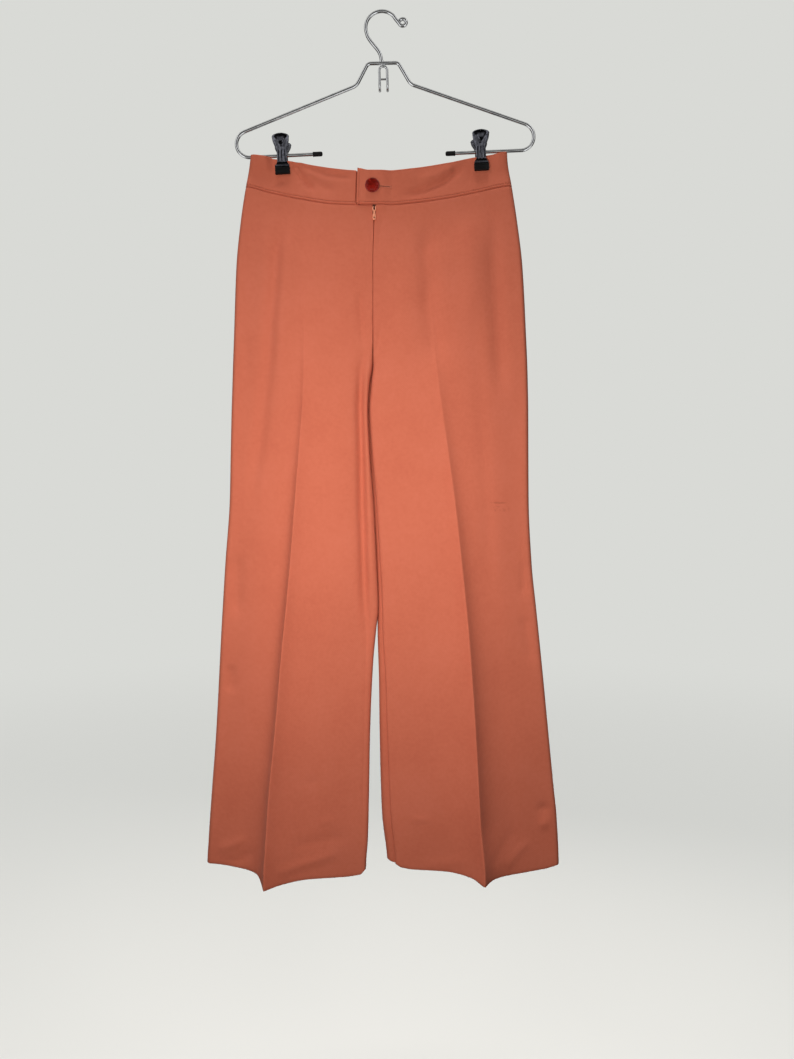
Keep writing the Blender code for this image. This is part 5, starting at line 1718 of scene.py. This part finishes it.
@dataclass
class Closure:
    """The button with its buttonhole, and the concealed zip: tape, slider and hanging pull."""

    button_radius: float = 10.2
    button_x: float = -12.6
    button_z: float = -253.6
    hole_start: float = -4.0
    hole_stop: float = 13.0
    pivot_z: float = -283.4
    pull_stand: float = 3.1
    zip_top: float = -280.0
    zip_length: float = 168.0

    def front_face(self, z: float) -> float:
        """Depth of the front's plain face beside the centre seam, as in the solids.

        Args:
            z: the height, in millimetres.

        Returns:
            How far the face stands off the middle plane.
        """
        panel = LegPanel(-1, True)
        at = np.array([z])
        depths = table_at(DEPTHS[True], WAIST_Z - at)
        under = ease((band_height(np.array([CENTRE_X]), 1.0, True) - at) / UNDER_BAND_RUN)
        reach = np.array([INSEAM_ROLL])
        _, crease, inseam, _ = panel.outline(at)
        near = inseam + INSEAM_ROLL
        places = np.stack([near, (near + crease) / 2, crease])
        heights = np.stack([depths[4], depths[3], depths[2]])
        face = smooth_curve(places, heights, reach)
        waist = waist_depth(CENTRE_X - reach, 1.0, True)
        return float((waist * (1 - under) + face * under)[0])

    def build_button(self, resin: Material, thread: Material) -> list[Piece]:
        """The rimmed, dished button on a wound thread shank.

        Args:
            resin: the button's finish.
            thread: the shank's thread.

        Returns:
            The button and its shank.
        """
        face = float(waist_depth(np.array([self.button_x]), 0.5, True)[0]) + TAB_STEP
        seat = Matrix.Translation((self.button_x, -face - SOLID_GAP, self.button_z))
        place = seat @ Matrix.Rotation(math.pi / 2, 4, "X")
        radius = self.button_radius
        profile = (
            (0.0, 2.75), (2.0, 2.78), (4.4, 2.9), (6.2, 3.12), (7.3, 3.45), (8.0, 3.6), (8.8, 3.58), (9.5, 3.35),
            (9.95, 2.95), (radius, 2.4), (radius - 0.1, 1.9), (9.4, 1.5), (8.2, 1.25), (5.0, 1.05), (3.0, 1.0),
            (0.0, 1.0),
        )
        shape = bmesh.new()
        revolve(shape, profile, 72, place)
        button = finish_piece("resin_button", shape, resin, angle=50)
        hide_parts("button")
        shape = bmesh.new()
        revolve(shape, ((0.0, -0.4), (2.1, -0.4), (1.7, 0.3), (1.8, 1.2), (0.0, 1.2)), 20, place)
        shank = finish_piece("button_shank_thread", shape, thread)
        return [button, shank]

    def build_buttonhole(self, cloth_face: Array, thread: Material) -> Piece:
        """Lips of thread either side of the buttonhole's slit, and a bar tack at its end.

        Args:
            cloth_face: the waistband's face, as a grid of points.
            thread: the twist the lips are sewn with.

        Returns:
            The lips and the tack.
        """
        shape = bmesh.new()
        for x in np.arange(self.hole_start, self.hole_stop, 0.6):
            for step in (-1, 1):
                z = self.button_z - 0.6 + step * 1.15
                size = Matrix.Diagonal((0.36, 0.34, 0.95, 1.0))
                at = Matrix.Translation((x, face_y(cloth_face, x, z) - 0.1, z))
                bmesh.ops.create_uvsphere(shape, u_segments=6, v_segments=4, radius=1.0, matrix=at @ size)
        for step in np.arange(-1.6, 1.7, 0.6):
            z = self.button_z - 0.6 + step
            size = Matrix.Diagonal((1.0, 0.4, 0.36, 1.0))
            at = Matrix.Translation((self.hole_stop + 0.6, face_y(cloth_face, self.hole_stop + 0.6, z) - 0.1, z))
            bmesh.ops.create_uvsphere(shape, u_segments=6, v_segments=4, radius=1.0, matrix=at @ size)
        return finish_piece("buttonhole_thread", shape, thread)

    def build_slit(self, cloth_face: Array, shadow: Material) -> Piece:
        """A dark cord between the buttonhole's lips, painted shade of the slit's gap.

        Args:
            cloth_face: the waistband's face, as a grid of points.
            shadow: the dark finish that paints the slit's shade.

        Returns:
            The dark cord of painted shade.
        """
        z = self.button_z - 0.6
        route = [(x, face_y(cloth_face, x, z) + 0.12, z) for x in np.arange(self.hole_start, self.hole_stop, 1.0)]
        return wire_piece("buttonhole_slit_shade_cord", route, 0.75, shadow, sides_level=2)

    def build_tape(self, tape: Material) -> Piece:
        """The zip's tape, in one strip with a slit where the slider's crown passes.

        Args:
            tape: the tape's finish.

        Returns:
            The tape.
        """
        rows, half = 60, 13.0
        z = np.linspace(self.zip_top, self.zip_top - self.zip_length, rows)
        across = np.array([-13.0, -10.0, -6.0, -3.0, -1.3, 1.3, 3.0, 6.0, 10.0, 13.0])
        points = np.zeros((rows, len(across), 3))
        points[..., 0] = CENTRE_X + across[None, ::-1]
        behind = np.array([-self.front_face(float(v)) + 2.1 for v in z])
        points[..., 1] = behind[:, None] + 0.1 * np.abs(across[None, ::-1]) / half
        points[..., 2] = z[:, None]
        strip = sheet_grid("zip_tape_strip", points[:, ::-1], tape)
        thicken(strip, 0.8)
        shape = bmesh.new()
        shape.from_mesh(strip.data)
        middle = [f for f in shape.faces
                  if abs(f.calc_center_median().x / MM - CENTRE_X) < 2.9 and f.calc_center_median().z / MM > -290]
        bmesh.ops.delete(shape, geom=middle, context="FACES")
        shape.to_mesh(strip.data)
        shape.free()
        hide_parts("zip_tape")
        return strip

    def build_slider(self, enamel: Material) -> Piece:
        """The slider behind the seam, with the crown that stands forward through it.

        Args:
            enamel: the slider's finish.

        Returns:
            The slider.
        """
        face = self.front_face(self.pivot_z)
        pivot = face + self.pull_stand
        behind = -face + CLOTH_WALL + SOLID_GAP + TAPE_WALL + SOLID_GAP + 0.5
        x, z = CENTRE_X, self.pivot_z
        shape = bmesh.new()
        body = [(-2.4, -5.0), (2.4, -5.0), (4.0, -1.0), (4.0, 2.0), (3.2, 3.0), (-3.2, 3.0), (-4.0, 2.0), (-4.0, -1.0)]
        plate(shape, body, behind, behind + 2.6, Matrix.Translation((x, 0.0, z)), 0.4)
        for low, high in ((-2.6, -1.3), (1.3, 2.4)):
            arm = [(-0.75, low), (0.75, low), (0.75, high), (-0.75, high)]
            plate(shape, arm, -pivot - 1.0, behind + 1.2, Matrix.Translation((x, 0.0, z)), 0.3)
        nose = [(-0.75, -2.6), (0.75, -2.6), (0.75, 2.4), (-0.75, 2.4)]
        plate(shape, nose, -pivot - 1.9, -pivot - 0.95, Matrix.Translation((x, 0.0, z)), 0.35)
        slider = finish_piece("enamelled_slider", shape, enamel)
        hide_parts("zip_slider")
        return slider

    def link_blank(self, shape: Shape) -> Piece:
        """Links a bmesh, which it frees, as a bare object that a cut needs.

        Args:
            shape: the bmesh.

        Returns:
            The bare object, to be removed once the cut is made.
        """
        mesh = bpy.data.meshes.new("pull_blank")
        shape.to_mesh(mesh)
        shape.free()
        blank = bpy.data.objects.new("pull_blank", mesh)
        link(blank)
        return blank

    def build_pull(self, enamel: Material) -> Piece:
        """The pull: a looped head round the crown, a narrow neck and a lobe with a hole near its end.

        Args:
            enamel: the pull's finish.

        Returns:
            The pull.
        """
        pivot = self.front_face(self.pivot_z) + self.pull_stand
        outline = [(0.0, 0.55), (1.8, 0.5), (2.45, -0.1), (2.5, -2.4), (2.4, -4.4), (1.7, -5.9), (1.3, -7.2),
                   (1.4, -8.8), (1.9, -10.6), (2.15, -13.0), (2.12, -15.6), (1.75, -17.4), (1.1, -18.3), (0.0, -18.6)]
        ring = outline + [(-x, z) for x, z in reversed(outline[1:-1])]
        shape = bmesh.new()
        plate(shape, ring, -0.55, 0.55, Matrix.Identity(4), 0.25)
        blank = self.link_blank(shape)
        corner = math.sqrt(2)
        holes = (
            (4, math.pi / 4, (1.1 * corner, 4.0, 1.82 * corner), (0.0, 0.0, -2.37)),
            (20, 0.0, (1.0, 4.0, 1.0), (0.0, 0.0, -14.9)),
        )
        cutters = []
        for sides, turn, size, at in holes:
            shape = bmesh.new()
            bmesh.ops.create_cone(shape, cap_ends=True, segments=sides, radius1=1.0, radius2=1.0, depth=2.0,
                                  matrix=Matrix.Rotation(turn, 4, "Z"))
            matrix = Matrix.Translation(at) @ Matrix.Diagonal((*size, 1.0))
            bmesh.ops.transform(shape, verts=shape.verts, matrix=matrix @ Matrix.Rotation(math.pi / 2, 4, "X"))
            cutters.append(self.link_blank(shape))
            cut = blank.modifiers.new("cut", "BOOLEAN")
            cut.solver = "EXACT"
            cut.operation = "DIFFERENCE"
            cut.object = cutters[-1]
        graph = bpy.context.evaluated_depsgraph_get()
        shape = bmesh.new()
        shape.from_object(blank, graph)
        for spare in [blank, *cutters]:
            bpy.data.objects.remove(spare, do_unlink=True)
        bmesh.ops.translate(shape, verts=shape.verts, vec=(CENTRE_X, -pivot, self.pivot_z))
        pull = finish_piece("enamelled_pull", shape, enamel, body="zip_pull")
        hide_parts("zip_pull")
        return pull

    def build(self, resin: Material, thread: Material, twist: Material,
              shadow: Material, tape: Material, enamels: Sequence[Material],
              cloth_face: Array) -> list[Piece]:
        """Builds the button, the buttonhole and the zip.

        Args:
            resin: the button's finish.
            thread: the button's thread.
            twist: the buttonhole's thread.
            shadow: the dark finish that paints the buttonhole slit's shade.
            tape: the zip's tape.
            enamels: the slider's enamel, darkened as painted shade, then the pull's.
            cloth_face: the waistband's face, as a grid of points.

        Returns:
            The closure's pieces.
        """
        pieces = self.build_button(resin, thread)
        pieces += [self.build_buttonhole(cloth_face, twist), self.build_slit(cloth_face, shadow)]
        return pieces + [self.build_tape(tape), self.build_slider(enamels[0]), self.build_pull(enamels[1])]


class Softbox(NamedTuple):
    """One square soft light: its name, place, aim, size in metres, power in watts and colour."""

    name: str
    place: tuple[float, float, float]
    aim: tuple[float, float, float]
    size: float
    power: float
    colour: str


@dataclass
class Studio:
    """A pale floor, soft light near the camera that falls off towards the hems, and the camera."""

    floor_z: float = -1.8
    floor_radius: float = 9.0
    pale: str = "#D9DAD6"
    bounced: float = 0.1
    mirrored: float = 1.4
    sun_power: float = 2.6
    sun_spread: float = 30.0
    sun_lean: float = 4.0
    softboxes: tuple[Softbox, ...] = (
        Softbox("key", (-0.06, -0.66, -0.68), (-0.05, 0.0, -0.68), 0.34, 4.7, "#FFF8F2"),
        Softbox("fill", (-0.75, -1.0, 0.25), (0.0, 0.0, -0.4), 0.7, 3.0, "#FFF4F4"),
        Softbox("rear", (0.3, 1.3, -0.1), (0.0, 0.0, -0.6), 0.8, 12.0, "#FFF6F2"),
    )

    def build_floor(self) -> None:
        """A plain pale floor."""
        shape = bmesh.new()
        bmesh.ops.create_circle(shape, cap_ends=True, segments=96, radius=self.floor_radius,
                                matrix=Matrix.Translation((0.0, 0.0, self.floor_z)))
        mesh = bpy.data.meshes.new("floor")
        shape.to_mesh(mesh)
        shape.free()
        material = bpy.data.materials.new("plain_floor")
        material.use_nodes = True
        tree = material.node_tree
        shader = tree.nodes["Principled BSDF"]
        shader.inputs["Base Color"].default_value = to_linear(self.pale)
        shader.inputs["Roughness"].default_value = 0.9
        place = add(tree, "TexCoord")
        away = add(tree, "VectorMath", {"operation": "LENGTH"}, links={0: place.outputs["Object"]})
        far = add(tree, "MapRange", {"interpolation_type": "SMOOTHSTEP"}, {"From Min": 2.2, "From Max": 6.0},
                  {"Value": away.outputs["Value"]})
        haze = add(tree, "Emission", values={"Color": to_linear(self.pale)})
        both = add(tree, "MixShader", links={0: far.outputs["Result"], 1: shader.outputs[0], 2: haze.outputs[0]})
        tree.links.new(both.outputs[0], tree.nodes["Material Output"].inputs["Surface"])
        mesh.materials.append(material)
        floor = bpy.data.objects.new("floor", mesh)
        link(floor)
        floor.visible_diffuse = False
        floor.visible_glossy = False

    def build_world(self) -> None:
        """A pale surround for the eye, and a dimmer room with bright windows in reflections."""
        world = bpy.data.worlds.new("studio")
        bpy.context.scene.world = world
        world.use_nodes = True
        tree = world.node_tree
        tree.nodes.clear()
        place = add(tree, "TexCoord")
        way = add(tree, "SeparateXYZ", links={"Vector": place.outputs["Generated"]})
        parts = {name: add(tree, "MapRange", values={"From Min": -1.0, "From Max": 1.0},
                           links={"Value": way.outputs[name]}).outputs["Result"] for name in "XYZ"}
        # A dim room with a window at each side, dark behind the garment, between a pale floor and ceiling.
        sides = ramp(tree, parts["X"], (
            (0.0, to_linear("#6A6968")), (0.13, to_linear("#FFFFFF")), (0.2, to_linear("#FFFFFF")),
            (0.25, to_linear("#4A4948")), (0.4, to_linear("#2A2928")), (0.6, to_linear("#242322")),
            (0.7, to_linear("#3A3938")), (0.74, to_linear("#FFFFFF")), (0.83, to_linear("#FFFFFF")),
            (0.88, to_linear("#5A5958"))))
        behind = add(tree, "MapRange", {"interpolation_type": "SMOOTHSTEP"}, {"From Min": 0.4, "From Max": 0.6},
                     {"Value": parts["Y"]})
        walls = add(tree, "Mix", {"data_type": "RGBA"}, {"B": to_linear("#33322F")},
                    {"Factor": behind.outputs["Result"], "A": sides})
        level = ramp(tree, parts["Z"], (
            (0.0, to_linear("#2A2928")), (0.16, to_linear("#4A4846")), (0.25, to_linear("#C0C0BE")),
            (0.34, to_linear("#C0C0BE")), (0.42, to_linear("#1E1D1C")), (0.84, to_linear("#1E1D1C")),
            (0.9, to_linear("#C8C8C6")), (1.0, to_linear("#8A8886"))))
        reflected = add(tree, "Mix", {"data_type": "RGBA", "blend_type": "LIGHTEN"}, {"Factor": 1.0},
                        {"A": walls.outputs["Result"], "B": level})
        room = ramp(tree, parts["Z"], (
            (0.0, to_linear("#2E2C2B")), (0.4, to_linear("#4A4846")), (0.5, to_linear("#8A8987")),
            (0.62, to_linear("#F2F2F0")), (1.0, to_linear("#FFFFFF"))))
        lit = add(tree, "Background", values={"Strength": self.bounced}, links={"Color": room})
        mirrored = add(tree, "Background", values={"Strength": self.mirrored},
                       links={"Color": reflected.outputs["Result"]})
        seen = add(tree, "Background", values={"Color": to_linear(self.pale), "Strength": 1.0})
        rays = add(tree, "LightPath")
        other = add(tree, "MixShader", links={0: rays.outputs["Is Glossy Ray"], 1: lit.outputs[0],
                                              2: mirrored.outputs[0]})
        mixed = add(tree, "MixShader", links={0: rays.outputs["Is Camera Ray"], 1: other.outputs[0],
                                              2: seen.outputs[0]})
        add(tree, "OutputWorld", links={"Surface": mixed.outputs[0]})

    def build_light(self, box: Softbox) -> None:
        """Hangs one softbox, which shiny surfaces don't mirror.

        Args:
            box: the softbox.
        """
        data = bpy.data.lights.new(box.name, "AREA")
        data.shape = "SQUARE"
        data.size = box.size
        data.energy = box.power
        data.color = to_linear(box.colour)[:3]
        lamp = bpy.data.objects.new(box.name, data)
        lamp.visible_glossy = False
        lamp.location = box.place
        lamp.rotation_euler = (Vector(box.aim) - Vector(box.place)).to_track_quat("-Z", "Y").to_euler()
        link(lamp)

    def build_camera(self) -> None:
        """The camera, level and square to the garment, where the photograph was taken."""
        data = bpy.data.cameras.new("camera")
        data.sensor_width = 36.0
        data.lens = PHOTO_FOCAL / max(PHOTO_SIZE) * data.sensor_width
        camera = bpy.data.objects.new("camera", data)
        camera.location = CAMERA_PLACE
        camera.rotation_euler = (math.pi / 2, 0.0, 0.0)
        link(camera)
        bpy.context.scene.camera = camera

    def build(self) -> None:
        """Builds the floor, the surround, the lights and the camera."""
        bpy.context.scene.view_settings.view_transform = "Standard"
        self.build_floor()
        self.build_world()
        for box in self.softboxes:
            self.build_light(box)
        sun = bpy.data.lights.new("overhead", "SUN")
        sun.energy = self.sun_power
        sun.angle = math.radians(self.sun_spread)
        lamp = bpy.data.objects.new("overhead", sun)
        lamp.rotation_euler = (math.radians(self.sun_lean), 0.0, 0.0)
        lamp.visible_glossy = False
        link(lamp)
        self.build_camera()


def report(assembly: str, pieces: Sequence[Piece]) -> None:
    """Logs each piece of a sub-assembly by name."""
    for piece in pieces:
        LOG.info("%s: %s", assembly, piece.name)


def main() -> None:
    """Builds every sub-assembly in order."""
    logging.basicConfig(level=logging.INFO, format="%(message)s")
    Studio().build()
    cloth = SuitingCloth().build()
    thread = SpunThread().build()
    twist = SpunThread("buttonhole_twist", colour="#CB7459", shade="#B96349").build()
    # A dark thread finish that paints the shade inside the buttonhole's slit.
    shadow = SpunThread("buttonhole_cut_edge", colour="#4A1E14", shade="#38160E", sheen=0.0).build()
    tape = WovenTape().build()
    chrome, nickel, rubber = CHROME.build(), BLACK_NICKEL.build(), NITRILE.build()
    # The slider's enamel is darkened as painted shade.
    resin, enamel, slider_shade_enamel = RESIN.build(), ENAMEL.build(), SLIDER_SHADE_ENAMEL.build()
    for leg in (-1, 1):
        for front in (True, False):
            report("leg", [LegPanel(leg, front).build(cloth)])
    waistband = Waistband()
    report("waistband", waistband.build(cloth, thread))
    cloth_face = waistband.half(1, True, waistband.tab_stop())
    report("closure", Closure().build(resin, thread, twist, shadow, tape, (slider_shade_enamel, enamel), cloth_face))
    report("hanger", Hanger().build(chrome, rubber))
    for side in (-1, 1):
        report("clip", Clip(side).build(nickel, rubber))


if __name__ == "__main__":
    main()
